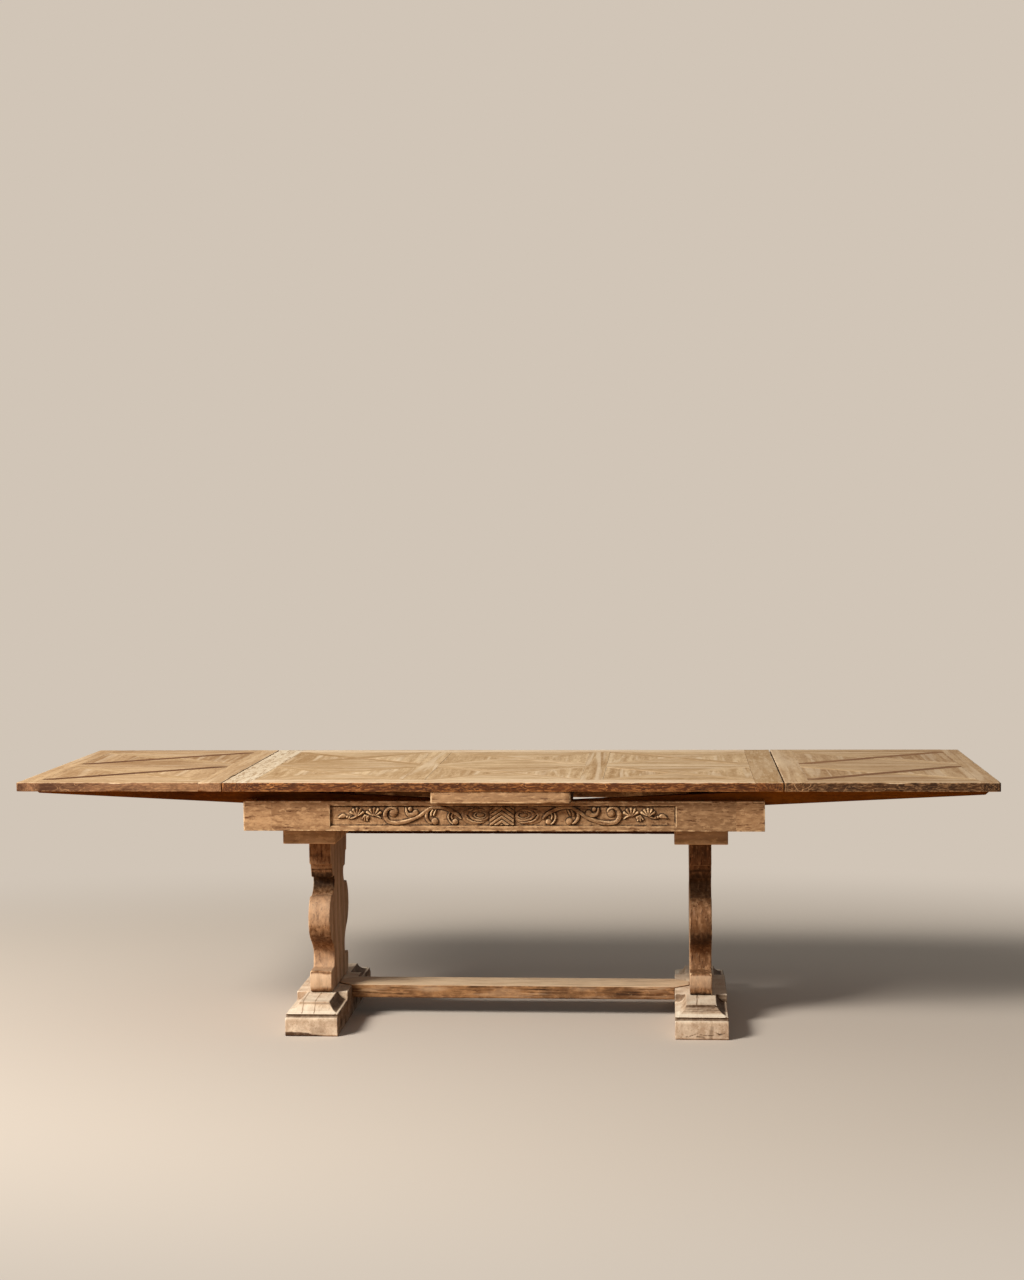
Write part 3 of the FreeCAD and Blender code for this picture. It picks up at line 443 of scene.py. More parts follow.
def hewn_node(node, seed, grain_axis, material, slot, dents, grid, patina_of):
    """A solid piece re-cut on a fine grid, so that its arrises are rubbed round and its faces uneven."""
    piece = new_object(f"{node}_worn", [(0, 0, 0)], [])
    mesh = merged_copy(node, whole_faces=False)
    mesh.to_mesh(piece.data)
    mesh.free()
    remesh = piece.modifiers.new("Grid", "REMESH")
    remesh.mode = "VOXEL"
    remesh.voxel_size = grid
    soften = piece.modifiers.new("Soften", "SMOOTH")
    soften.factor = 0.5
    soften.iterations = 1
    data = applied(piece).data
    points, normals = points_of(piece), points_of(piece, "normal")
    edges = np.empty(len(data.edges) * 2, int)
    data.edges.foreach_get("vertices", edges)
    edges = edges.reshape(-1, 2)
    edge = smooth(curvature(points, edges, normals, 2) / grid, 0.05, 0.16)
    # Hollows, which the materials darken with grime and painted shade
    hollow = smooth(-curvature(points, edges, normals, 4) / grid, 0.03, 0.12)
    low, high = (np.array(corner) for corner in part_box(node))
    patina = np.clip(patina_of(points, normals, seed), -1, 1)
    waves = ripple(points, 0.09, seed) * 0.35 + ripple(points, 0.03, seed + 1) * 0.2
    chips = smooth(ripple(points, 0.035, seed + 2), 0.3, 1.0) * edge
    cut = dents * (0.55 + waves + chips * 1.6)
    points = points - normals * np.clip(cut, 0, None)[:, None]
    points = np.clip(points, low, high)
    data.vertices.foreach_set("co", points.ravel())
    store_grain(piece, points, (low + high) / 2, grain_axis, seed)
    store(piece, "edge", edge)
    store(piece, "hollow", hollow)
    store(piece, "patina", patina)
    return dress(piece, body_of(node), material, slot, node)


# Shader groups

class Shop:
    """Adds nodes to a tree and joins them with few words."""

    def __init__(self, tree):
        self.tree = tree

    def add(self, kind, inputs=None, **settings):
        node = self.tree.nodes.new(kind)
        for name, value in settings.items():
            setattr(node, name, value)
        for key, value in (inputs or {}).items():
            self.feed(node.inputs[key], value)
        return node

    def feed(self, socket, value):
        if isinstance(value, bpy.types.NodeSocket):
            self.tree.links.new(value, socket)
        else:
            socket.default_value = value

    def maths(self, operation, *values, clamp=False):
        node = self.add("ShaderNodeMath", operation=operation, use_clamp=clamp)
        for socket, value in zip(node.inputs, values):
            self.feed(socket, value)
        return node.outputs[0]

    def times(self, first, second, clamp=False):
        return self.maths("MULTIPLY", first, second, clamp=clamp)

    def ramp(self, value, low, high):
        """A share that rises smoothly from 0 to 1 between two values."""
        node = self.add("ShaderNodeMapRange", {"Value": value, "From Min": low, "From Max": high},
                        interpolation_type="SMOOTHSTEP")
        return node.outputs["Result"]

    def mix(self, share, first, second, blend="MIX"):
        node = self.add("ShaderNodeMix", data_type="RGBA", blend_type=blend)
        for index, value in ((0, share), (6, first), (7, second)):
            self.feed(node.inputs[index], value)
        return node.outputs[2]

    def stretch(self, vector, scale):
        node = self.add("ShaderNodeMapping", {"Vector": vector, "Scale": scale})
        return node.outputs["Vector"]

    def noise(self, vector, scale, detail=3.0, roughness=0.55, distortion=0.0):
        node = self.add("ShaderNodeTexNoise", {
            "Vector": vector, "Scale": scale, "Detail": detail, "Roughness": roughness,
            "Distortion": distortion})
        return node.outputs["Fac"]


def shader_group(name, inputs, outputs):
    """An empty shader group with named sockets, and its shop, input node and output node."""
    tree = bpy.data.node_groups.new(name, "ShaderNodeTree")
    for label, kind, default in inputs:
        socket = tree.interface.new_socket(label, in_out="INPUT", socket_type=kind)
        if default is not None:
            socket.default_value = default
    for label, kind in outputs:
        tree.interface.new_socket(label, in_out="OUTPUT", socket_type=kind)
    shop = Shop(tree)
    return shop, shop.add("NodeGroupInput").outputs, shop.add("NodeGroupOutput")


FLOAT, COLOUR, VECTOR = "NodeSocketFloat", "NodeSocketColor", "NodeSocketVector"
WHITE = (1, 1, 1, 1)
# Bare wood where the top's varnish and the other finishes are rubbed through
GOLDEN = shade(202, 138, 78)
TAN = shade(190, 146, 102)


# Patterns in the oak: how often each repeats in a metre along and across the grain, then its
# detail, roughness and distortion
OAK_PATTERNS = {
    "streaks": (1.6, 26, 5.0, 0.6, 0.4),
    "clouds": (3.0, 9, 3.0, 0.55, 0.0),
    "pores": (34, 620, 2.0, 0.7, 0.0),
    "cracks": (17, 150, 3.0, 0.7, 0.3),
    "spots": (48, 95, 4.0, 0.65, 0.0),
    "rays": (20, 105, 2.0, 0.5, 0.6),
    "wisps": (1.1, 21, 2.0, 0.5, 1.6),
    "flecks": (17, 88, 3.0, 0.6, 0.8),
    "mottle": (14, 55, 3.0, 0.6, 0.0),
}


def oak_pattern(shop, grain, name, fineness=1.0):
    """One of the patterns, laid along the grain."""
    along, across, detail, roughness, distortion = OAK_PATTERNS[name]
    laid = shop.stretch(grain, (along, across, across))
    return shop.noise(laid, fineness, detail, roughness, distortion)


def make_grain_group():
    """Oak grain: broad streaks, cathedral figure, pores and pale rays, with a height."""
    shop, given, out = shader_group(
        "Oak grain",
        [("Grain", VECTOR, None), ("Tone", FLOAT, 0.5), ("Light", COLOUR, WHITE),
         ("Dark", COLOUR, WHITE), ("Figure", FLOAT, 0.5), ("Pores", FLOAT, 0.5), ("Rays", FLOAT, 0.2),
         ("Spread", FLOAT, 0.3), ("Pale", COLOUR, WHITE), ("Streaks", FLOAT, 0.0),
         ("Mottle", FLOAT, 0.4)],
        [("Color", COLOUR), ("Height", FLOAT)])
    grain, light, dark = given["Grain"], given["Light"], given["Dark"]
    streaks = oak_pattern(shop, grain, "streaks")
    clouds = oak_pattern(shop, grain, "clouds")
    rings = shop.add("ShaderNodeTexWave", {
        "Vector": shop.stretch(grain, (0.12, 1, 1)), "Scale": 9.0, "Distortion": 7.0,
        "Detail": 3.0, "Detail Scale": 1.3, "Detail Roughness": 0.6}, bands_direction="Y")
    figure = shop.times(shop.ramp(rings.outputs["Fac"], 0.25, 0.95), given["Figure"])
    cloud_share = shop.times(shop.ramp(clouds, 0.3, 0.7), 0.4)
    light_share = shop.maths("ADD", shop.times(shop.ramp(streaks, 0.32, 0.68), 0.6), cloud_share)
    light_share = shop.times(light_share, shop.maths("SUBTRACT", 1.0, shop.times(figure, 0.75)))
    board = shop.times(shop.maths("SUBTRACT", given["Tone"], 0.5), given["Spread"])
    light_share = shop.maths("ADD", light_share, board, clamp=True)
    base = shop.mix(light_share, dark, light)
    pore_share = shop.ramp(oak_pattern(shop, grain, "pores"), 0.60, 0.72)
    pored = shop.mix(shop.times(pore_share, given["Pores"]), base, dark, "MULTIPLY")
    cracks = oak_pattern(shop, grain, "cracks")
    crack_share = shop.times(shop.ramp(cracks, 0.53, 0.66), given["Mottle"])
    cracked = shop.mix(crack_share, pored, dark, "MULTIPLY")
    spots = oak_pattern(shop, grain, "spots")
    spot_share = shop.times(shop.ramp(spots, 0.50, 0.38), given["Mottle"])
    spotted = shop.mix(shop.times(spot_share, 0.8), cracked, dark)
    bare_share = shop.times(shop.ramp(spots, 0.52, 0.64), given["Mottle"])
    bared = shop.mix(shop.times(bare_share, 0.75), spotted, light)
    ray_share = shop.times(shop.ramp(oak_pattern(shop, grain, "rays"), 0.56, 0.66), given["Rays"])
    rayed = shop.mix(ray_share, bared, light)
    wisp_share = shop.times(shop.ramp(oak_pattern(shop, grain, "wisps"), 0.50, 0.68), given["Streaks"])
    shop.feed(out.inputs["Color"], shop.mix(wisp_share, rayed, given["Pale"]))
    cut = shop.maths("ADD", shop.times(pore_share, 0.6), shop.times(crack_share, 0.8))
    shop.feed(out.inputs["Height"], shop.maths("SUBTRACT", shop.times(streaks, 0.5), cut))


def make_wear_group():
    """Rubs an edge back to bare wood, in patches, and cuts thin curved scratches."""
    shop, given, out = shader_group(
        "Edge wear",
        [("Color", COLOUR, WHITE), ("Worn", COLOUR, WHITE), ("Edge", FLOAT, 0.0),
         ("Amount", FLOAT, 0.5), ("Scratches", FLOAT, 0.2), ("Place", VECTOR, None)],
        [("Color", COLOUR), ("Mask", FLOAT)])
    patches = shop.noise(given["Place"], 38.0, 4.0, 0.65)
    rubbed = shop.times(given["Edge"], shop.ramp(patches, 0.34, 0.62))
    rubbed = shop.times(shop.ramp(rubbed, 0.15, 0.9), given["Amount"])
    lines = shop.noise(shop.stretch(given["Place"], (1.0, 1.0, 2.2)), 16.0, 1.0, 0.4, 1.2)
    thin = shop.ramp(shop.maths("ABSOLUTE", shop.maths("SUBTRACT", lines, 0.5)), 0.014, 0.003)
    where = shop.ramp(shop.noise(given["Place"], 9.0, 2.0), 0.5, 0.62)
    scratches = shop.times(shop.times(thin, where), given["Scratches"])
    mask = shop.maths("MAXIMUM", rubbed, scratches)
    shop.feed(out.inputs["Color"], shop.mix(mask, given["Color"], given["Worn"]))
    shop.feed(out.inputs["Mask"], mask)


def make_stain_group():
    """Dark patches of old stain and spills."""
    shop, given, out = shader_group(
        "Old stain",
        [("Color", COLOUR, WHITE), ("Stain", COLOUR, WHITE), ("Amount", FLOAT, 0.3),
         ("Size", FLOAT, 6.0), ("Place", VECTOR, None)],
        [("Color", COLOUR), ("Mask", FLOAT)])
    patches = shop.noise(given["Place"], given["Size"], 5.0, 0.62, 0.5)
    mask = shop.times(shop.ramp(patches, 0.46, 0.74), given["Amount"])
    shop.feed(out.inputs["Color"], shop.mix(mask, given["Color"], given["Stain"]))
    shop.feed(out.inputs["Mask"], mask)


def make_grime_group():
    """Dirt that has gathered where the surface is hollow, with painted shade in the same hollows."""
    shop, given, out = shader_group(
        "Grime in hollows",
        [("Color", COLOUR, WHITE), ("Grime", COLOUR, WHITE), ("Hollow", FLOAT, 0.0),
         ("Amount", FLOAT, 0.6), ("Place", VECTOR, None)],
        [("Color", COLOUR)])
    rough = shop.ramp(shop.noise(given["Place"], 60.0, 3.0), 0.2, 0.6)
    mask = shop.times(shop.times(given["Hollow"], given["Amount"]), rough, clamp=True)
    shop.feed(out.inputs["Color"], shop.mix(mask, given["Color"], given["Grime"]))


def make_fleck_group():
    """Flecks that lie along the grain, as rays do in a quartered board."""
    shop, given, out = shader_group(
        "Flecks",
        [("Color", COLOUR, WHITE), ("Fleck", COLOUR, WHITE), ("Amount", FLOAT, 0.5),
         ("Fineness", FLOAT, 1.0), ("Grain", VECTOR, None)],
        [("Color", COLOUR)])
    flecks = oak_pattern(shop, given["Grain"], "flecks", given["Fineness"])
    mask = shop.times(shop.ramp(flecks, 0.50, 0.62), given["Amount"])
    shop.feed(out.inputs["Color"], shop.mix(mask, given["Color"], given["Fleck"]))


def make_patina_group():
    """Darkens or bleaches the wood where a piece keeps a value under or over zero."""
    shop, given, out = shader_group(
        "Patina",
        [("Color", COLOUR, WHITE), ("Dark", COLOUR, WHITE), ("Pale", COLOUR, WHITE),
         ("Patina", FLOAT, 0.0), ("Grain", VECTOR, None)],
        [("Color", COLOUR)])
    mottle = oak_pattern(shop, given["Grain"], "mottle")
    value = given["Patina"]
    rough = shop.times(shop.maths("SUBTRACT", mottle, 0.5), 1.1)
    share = shop.times(shop.maths("ABSOLUTE", value), shop.maths("ADD", 1.0, rough))
    deep = shop.times(share, shop.maths("LESS_THAN", value, 0.0), clamp=True)
    bleached = shop.times(share, shop.maths("GREATER_THAN", value, 0.0), clamp=True)
    dark = shop.mix(deep, given["Color"], given["Dark"])
    shop.feed(out.inputs["Color"], shop.mix(bleached, dark, given["Pale"]))


def make_face_group():
    """Parts the upper face of a board from its sides and its under face."""
    shop, given, out = shader_group(
        "Upper face", [], [("Up", FLOAT), ("Down", FLOAT)])
    normal = shop.add("ShaderNodeNewGeometry").outputs["Normal"]
    turned = shop.add("ShaderNodeSeparateXYZ", {"Vector": normal})
    shop.feed(out.inputs["Up"], shop.ramp(turned.outputs["Z"], 0.45, 0.85))
    shop.feed(out.inputs["Down"], shop.ramp(turned.outputs["Z"], -0.45, -0.85))


# Materials

GRAIN_DEPTH = 0.6 * MM


def whole(value):
    """A colour with its alpha."""
    return (*value, 1)


def start_material(name):
    """A new material's shop and shader."""
    material = bpy.data.materials.new(name)
    material.use_nodes = True
    return Shop(material.node_tree), material.node_tree.nodes["Principled BSDF"]


def attribute(shop, name, field="Fac"):
    return shop.add("ShaderNodeAttribute", attribute_name=name).outputs[field]


def grouped(shop, name, **inputs):
    """A shader group placed in a material with its own values."""
    node = shop.add("ShaderNodeGroup")
    node.node_tree = bpy.data.node_groups[name]
    for key, value in inputs.items():
        shop.feed(node.inputs[key.replace("_", " ")], value)
    return node.outputs


def oak_base(shop, grain, light, dark, figure=0.5, pores=0.5, rays=0.2, spread=0.4, mottle=0.5,
             pale=(1, 1, 1), streaks=0.0):
    return grouped(shop, "Oak grain", Grain=grain, Tone=attribute(shop, "tone"), Light=whole(light),
                   Dark=whole(dark), Figure=figure, Pores=pores, Rays=rays, Spread=spread, Mottle=mottle,
                   Pale=whole(pale), Streaks=streaks)


def grain_strengths(finish):
    """The strengths of a finish that belong to its grain."""
    return {key: finish[key] for key in ("figure", "pores", "rays", "spread", "mottle")}


def close_material(shop, shader, base, height, finish):
    """Joins colour, roughness and bump to the shader: hollows of the grain are rougher."""
    shop.feed(shader.inputs["Base Color"], base)
    rough = shop.add("ShaderNodeMapRange", {
        "Value": height, "From Min": -0.3, "From Max": 0.5, "To Min": finish["roughness"] + 0.12,
        "To Max": finish["roughness"] - 0.05})
    shop.feed(shader.inputs["Roughness"], rough.outputs["Result"])
    relief = shop.add("ShaderNodeBump", {
        "Strength": finish["bump"], "Distance": GRAIN_DEPTH, "Height": height})
    shop.feed(shader.inputs["Normal"], relief.outputs["Normal"])
    shader.inputs["Specular IOR Level"].default_value = finish["gloss"]


def place_of(shop):
    return shop.add("ShaderNodeTexCoord").outputs["Object"]


def make_board_material(name, light, dark, **changes):
    """A board of the top: scrubbed above, varnished on its sides, raw underneath."""
    colours = bpy.context.scene.oak_colours
    finish = board_finish(**changes)
    shop, shader = start_material(name)
    place = place_of(shop)
    edge = attribute(shop, "edge")
    grain = attribute(shop, "grain", "Vector")
    side_light, side_dark = finish["side_light"], finish["side_dark"]
    upper = oak_base(shop, grain, light, dark, **grain_strengths(finish), pale=colours.whitish,
                     streaks=finish["streaks"])
    stained = grouped(shop, "Old stain", Color=upper["Color"], Stain=whole(dark), Amount=finish["stain"],
                      Size=5.0, Place=place)
    flecked = grouped(shop, "Flecks", Color=stained["Color"], Fleck=whole(finish["fleck_colour"]),
                      Amount=finish["flecks"], Grain=grain)
    pale = grouped(shop, "Edge wear", Color=flecked["Color"], Worn=whole(colours.whitish), Edge=edge,
                   Amount=finish["pale"], Scratches=0.06, Place=place)
    side = oak_base(shop, grain, side_light, side_dark, figure=0.4, pores=0.7, rays=0.1, spread=0.3)
    blotched = grouped(shop, "Old stain", Color=side["Color"], Stain=whole(side_dark), Amount=0.8,
                       Size=14.0, Place=place)
    specks = grouped(shop, "Flecks", Color=blotched["Color"], Fleck=whole(finish["rub"]), Amount=0.4,
                     Fineness=3.2, Grain=grain)
    toned = grouped(shop, "Patina", Color=specks["Color"], Dark=whole(side_dark),
                    Pale=whole(finish["rub"]), Patina=attribute(shop, "patina"), Grain=grain)
    rubbed = grouped(shop, "Edge wear", Color=toned["Color"], Worn=whole(finish["rub"]), Edge=edge,
                     Amount=finish["rubbed"], Scratches=finish["scratches"], Place=place)
    faces = grouped(shop, "Upper face")
    sides = shop.mix(faces["Up"], rubbed["Color"], pale["Color"])
    raw = oak_base(shop, grain, finish["under"], dark, figure=0.4, pores=0.4, rays=0.1, spread=0.3)
    base = shop.mix(faces["Down"], sides, raw["Color"])
    close_material(shop, shader, base, upper["Height"], finish)


def make_plain_material(name, light, dark, **changes):
    """Wood with one finish all round: grain, stain, grime with painted shade in its hollows, and rubbed
    edges.
    """
    colours = bpy.context.scene.oak_colours
    finish = plain_finish(**changes)
    shop, shader = start_material(name)
    place = place_of(shop)
    grain = attribute(shop, "grain", "Vector")
    oak = oak_base(shop, grain, light, dark, **grain_strengths(finish))
    stained = grouped(shop, "Old stain", Color=oak["Color"], Stain=whole(finish["stain_colour"]),
                      Amount=finish["stain"], Size=finish["size"], Place=place)
    toned = grouped(shop, "Patina", Color=stained["Color"], Dark=whole(finish["deep"]),
                    Pale=whole(finish["faded"]), Patina=attribute(shop, "patina"), Grain=grain)
    # Grime and painted shade in the hollows
    grimy = grouped(shop, "Grime in hollows", Color=toned["Color"], Grime=whole(colours.grime),
                    Hollow=attribute(shop, "hollow"), Amount=finish["grime"], Place=place)
    rubbed = grouped(shop, "Edge wear", Color=grimy["Color"], Worn=whole(finish["rub"]),
                     Edge=attribute(shop, "edge"), Amount=finish["rubbed"],
                     Scratches=finish["scratches"], Place=place)
    close_material(shop, shader, rubbed["Color"], oak["Height"], finish)


def plain_finish(**changes):
    """Usual strengths and colours of a plain wood's finish, with the ones that differ."""
    finish = {"figure": 0.5, "pores": 0.5, "rays": 0.15, "spread": 0.35, "mottle": 0.6, "stain": 0.4,
              "size": 9.0, "grime": 0.7, "rubbed": 0.6, "scratches": 0.15, "roughness": 0.62,
              "bump": 0.45, "gloss": 0.25, "deep": shade(56, 35, 18), "faded": shade(216, 178, 138),
              "rub": TAN}
    finish.update(changes)
    return finish


def board_finish(**changes):
    """Usual strengths and colours of a top board's finish, with the ones that differ."""
    colours = bpy.context.scene.oak_colours
    finish = {"figure": 0.6, "pores": 0.35, "rays": 0.3, "spread": 0.35, "mottle": 0.4, "stain": 0.35,
              "streaks": 0.4, "flecks": 0.0, "pale": 0.6, "rubbed": 0.45, "scratches": 0.85,
              "roughness": 0.6, "bump": 0.25, "gloss": 0.25, "rub": GOLDEN, "fleck_colour": GOLDEN,
              "side_light": colours.varnish, "side_dark": colours.varnish_dark,
              "under": colours.bearer}
    finish.update(changes)
    return finish


def make_steel_material():
    """Old screws and bolts, dull and brown in patches."""
    colours = bpy.context.scene.oak_colours
    shop, shader = start_material("Old steel")
    place = place_of(shop)
    bloom = grouped(shop, "Old stain", Color=whole(colours.steel), Stain=whole(colours.rust), Amount=0.8,
                    Size=120.0, Place=place)
    shop.feed(shader.inputs["Base Color"], bloom["Color"])
    shader.inputs["Metallic"].default_value = 0.85
    shop.feed(shader.inputs["Roughness"], shop.add("ShaderNodeMapRange", {
        "Value": bloom["Mask"], "To Min": 0.38, "To Max": 0.75}).outputs["Result"])


def make_floor_material():
    """The plain pale floor, which goes over into the backdrop's colour far from the table."""
    stage = bpy.context.scene.stage_settings
    shop, shader = start_material("Pale floor")
    seen = shop.add("ShaderNodeLightPath").outputs["Is Camera Ray"]
    shop.feed(shader.inputs["Base Color"], shop.mix(seen, whole(stage.bounce), whole(stage.floor)))
    shader.inputs["Roughness"].default_value = 0.85
    shader.inputs["Specular IOR Level"].default_value = 0.2
    away = shop.add("ShaderNodeVectorMath", operation="LENGTH")
    shop.feed(away.inputs[0], shop.stretch(place_of(shop), (0.6, 1, 1)))
    share = shop.ramp(away.outputs["Value"], stage.clear, stage.far)
    plain = shop.add("ShaderNodeEmission", {"Color": whole(stage.backdrop), "Strength": 1.0})
    mix = shop.add("ShaderNodeMixShader")
    shop.feed(mix.inputs[0], shop.times(share, seen))
    shop.feed(mix.inputs[1], shader.outputs[0])
    shop.feed(mix.inputs[2], plain.outputs[0])
    output = shop.tree.nodes["Material Output"]
    shop.feed(output.inputs["Surface"], mix.outputs[0])


def darker(value, share):
    return tuple(part * share for part in value)


def make_top_materials():
    """Finishes of the top's and the leaves' boards, laths and panels."""
    oak = bpy.context.scene.oak_colours
    make_board_material("Scrubbed top", oak.scrubbed, oak.scrubbed_dark, streaks=0.6, stain=0.5)
    make_board_material("Worn border", shade(250, 230, 200), shade(206, 170, 128), streaks=0.85,
                        stain=0.3, pale=0.9)
    make_board_material("Speckled end", shade(246, 232, 206), shade(222, 200, 168), rays=0.5,
                        stain=0.0, streaks=0.3, flecks=0.75, fleck_colour=shade(172, 140, 104))
    make_board_material("Flecked end", shade(194, 160, 118), oak.scrubbed_dark, stain=0.3,
                        streaks=0.2, flecks=0.4, fleck_colour=shade(222, 196, 158))
    leaf = {"rub": TAN, "spread": 0.5}
    make_board_material("Left leaf boards", oak.leaf, oak.leaf_dark,
                        side_light=shade(158, 114, 80), **leaf)
    make_board_material("Right leaf boards", darker(oak.leaf, 0.88), oak.leaf_dark,
                        side_light=shade(98, 62, 32), side_dark=shade(44, 26, 12), **leaf)
    make_board_material("Pale laths", shade(226, 194, 150), oak.scrubbed_dark, side_light=oak.leaf,
                        side_dark=oak.leaf_dark, under=oak.leaf, rub=TAN, rays=0.2, pale=0.3)
    lath = {"side_light": oak.lath, "side_dark": oak.lath_dark, "under": oak.lath, "rub": TAN,
            "rays": 0.1, "pale": 0.1, "stain": 0.6, "streaks": 0.0}
    make_board_material("Dark laths", oak.lath, oak.lath_dark, **lath)
    make_board_material("Faded laths", shade(170, 124, 80), shade(120, 80, 46), **lath)


def make_frame_materials():
    """Finishes of the frame, the trestles, the bearers and the hidden boards."""
    oak = bpy.context.scene.oak_colours
    make_plain_material("Frame oak", oak.frame, oak.frame_dark, stain_colour=oak.frame_dark,
                        rub=shade(234, 200, 154), figure=0.6, grime=1.0, pores=0.8, rubbed=0.75,
                        mottle=1.0)
    make_plain_material("Leg oak", oak.leg, oak.leg_dark, stain_colour=darker(oak.leg_dark, 0.6),
                        rub=oak.worn, stain=0.5, size=11.0, grime=0.35, pores=0.7, mottle=1.0,
                        rubbed=0.8, gloss=0.15, faded=shade(226, 194, 160))
    # The bolster's colours are paler than its wood: a painted brightening that offsets the shadow of the
    # top on it
    make_plain_material("Bolster oak", shade(228, 190, 142), shade(164, 126, 88),
                        stain_colour=shade(84, 54, 34), rub=shade(222, 178, 128), stain=0.45,
                        size=10.0, grime=0.5, pores=0.7, mottle=0.8)
    make_plain_material("Stretcher oak", shade(180, 134, 88), shade(112, 74, 42),
                        stain_colour=shade(60, 38, 24), rub=oak.worn, stain=0.55, rubbed=0.5,
                        pores=0.8, mottle=0.7, faded=shade(222, 194, 158))
    make_plain_material("Bleached oak", oak.bleached, oak.bleached_dark,
                        stain_colour=shade(168, 134, 104), rub=shade(250, 238, 216), stain=0.35,
                        size=13.0, rubbed=0.75, grime=0.8, roughness=0.75, mottle=0.55,
                        deep=shade(80, 56, 36), faded=shade(244, 230, 206))
    make_plain_material("Bearer oak", oak.bearer, oak.bearer_dark,
                        stain_colour=darker(oak.bearer_dark, 0.6), rub=shade(176, 108, 46),
                        rubbed=0.3, roughness=0.55, stain=0.25, mottle=0.3, gloss=0.08)
    make_plain_material("Raw ground", shade(150, 104, 64), shade(102, 64, 36),
                        stain_colour=shade(70, 42, 24), rubbed=0.2, roughness=0.7)
    # The rail's very dark colour is partly the oak's own and partly painted shade: the upper rail stands
    # in the shadow under the top
    make_plain_material("Dark rail", shade(88, 46, 20), shade(50, 24, 10),
                        stain_colour=shade(36, 18, 8), rubbed=0.1, roughness=0.7, gloss=0.08)


def make_materials():
    """All finishes, after the shader groups that they are made of."""
    for make in (make_grain_group, make_wear_group, make_stain_group, make_grime_group,
                 make_fleck_group, make_patina_group, make_face_group, make_top_materials,
                 make_frame_materials, make_steel_material, make_floor_material):
        make()


# Boards of the top and the leaves

# Each board of the top with its finish and its slot
BOARD_FINISHES = (
    ("top_front_border", "Worn border", "top_oak"),
    ("top_back_border", "Worn border", "top_oak"),
    ("top_left_end", "Speckled end", "pale_top_oak"),
    ("top_right_end", "Flecked end", "pale_top_oak"),
    ("top_left_band", "Scrubbed top", "top_oak"),
    ("top_right_band", "Scrubbed top", "top_oak"),
    ("top_mid_rails", "Scrubbed top", "top_oak"),
)
LEAF_BOARDS = ("front_border", "back_border", "inner_end", "outer_end", "mid_rail")
# Tone along the left leaf's edge: the distance from its outer end in metres, then the patina
LEFT_EDGE_TONES = (
    (0.000, -0.75), (0.014, -0.70), (0.022, 0.00), (0.060, -0.10), (0.066, -0.85), (0.110, -0.80),
    (0.125, -0.50), (0.190, -0.50), (0.230, -0.10), (0.330, -0.15), (0.420, 0.20), (0.600, 0.10))
TOP_FIELDS = ("top_left", "top_centre", "top_right")
# Finishes of the leaves' rising laths. All other laths are pale
LATH_FINISHES = {"left_leaf": "Dark laths", "right_leaf": "Faded laths"}


def make_top_boards():
    """Borders, ends, bands and rails of the fixed top."""
    seed = bpy.context.scene.board_sizes.seed
    fields = [f"{field}_{kind}" for field in TOP_FIELDS for kind in ("laths", "panels")]
    names = [node for node, _, _ in BOARD_FINISHES] + fields
    for number, (node, material, slot) in enumerate(BOARD_FINISHES):
        others = [name for name in names if name != node]
        board_node(node, seed + number * 101, None, material, slot, others)


def make_leaf_boards():
    """Borders, ends and rails of both leaves."""
    seed = bpy.context.scene.board_sizes.seed + 5000
    for side_number, side in enumerate(("left", "right")):
        names = [f"{side}_leaf_{part}" for part in (*LEAF_BOARDS, "laths", "panels")]
        for number, part in enumerate(LEAF_BOARDS):
            node = names[number]
            piece = board_node(node, seed + side_number * 911 + number * 101, None,
                               f"{side.capitalize()} leaf boards", "top_oak",
                               [name for name in names if name != node])
            if side == "left":
                mark_leaf_edge(piece)


def mark_leaf_edge(piece):
    """Dark blotches along the left leaf's edges, most of them near its outer end."""
    points = points_of(piece)
    along, tones = zip(*LEFT_EDGE_TONES)
    away = points[:, 0] - MODEL_BOX[0].x + ripple(points, 0.05, 61) * 0.006
    store(piece, "patina", np.interp(away, along, tones))


# Parquetry

# How far the faces of the laths and panels differ in height
UNEVENNESS = 0.5 * MM


def flat_outlines(node):
    """The outlines of a node's upper faces, each a ring of points seen from above."""
    mesh = merged_copy(node)
    rings = []
    for face in mesh.faces:
        if face.normal.z > 0.99 and face.calc_center_median().z > TOP_FACE - MM:
            rings.append(np.array([(v.co.x, v.co.y) for v in face.verts]))
    mesh.free()
    return sorted(rings, key=lambda ring: tuple(np.round(ring.mean(0), 3)))


def corner_moves(ring):
    """The move of each corner that draws every side of a ring in by one unit."""
    before = ring - np.roll(ring, 1, axis=0)
    after = np.roll(ring, -1, axis=0) - ring
    before /= np.linalg.norm(before, axis=1)[:, None]
    after /= np.linalg.norm(after, axis=1)[:, None]
    first = np.stack([-before[:, 1], before[:, 0]], 1)
    second = np.stack([-after[:, 1], after[:, 0]], 1)
    total = first + second
    return total / (1 + np.einsum("ij,ij->i", first, second))[:, None]


def grain_angle(ring, lath):
    """Direction of the grain: along a lath, and along the outer side of a panel."""
    sides = np.roll(ring, -1, axis=0) - ring
    longest = sides[np.argmax(np.linalg.norm(sides, axis=1))]
    if lath:
        return math.atan2(longest[1], longest[0])
    straight = [side for side in sides if min(abs(side)) < MM]
    side = straight[0] if straight else longest
    return math.atan2(side[1], side[0])


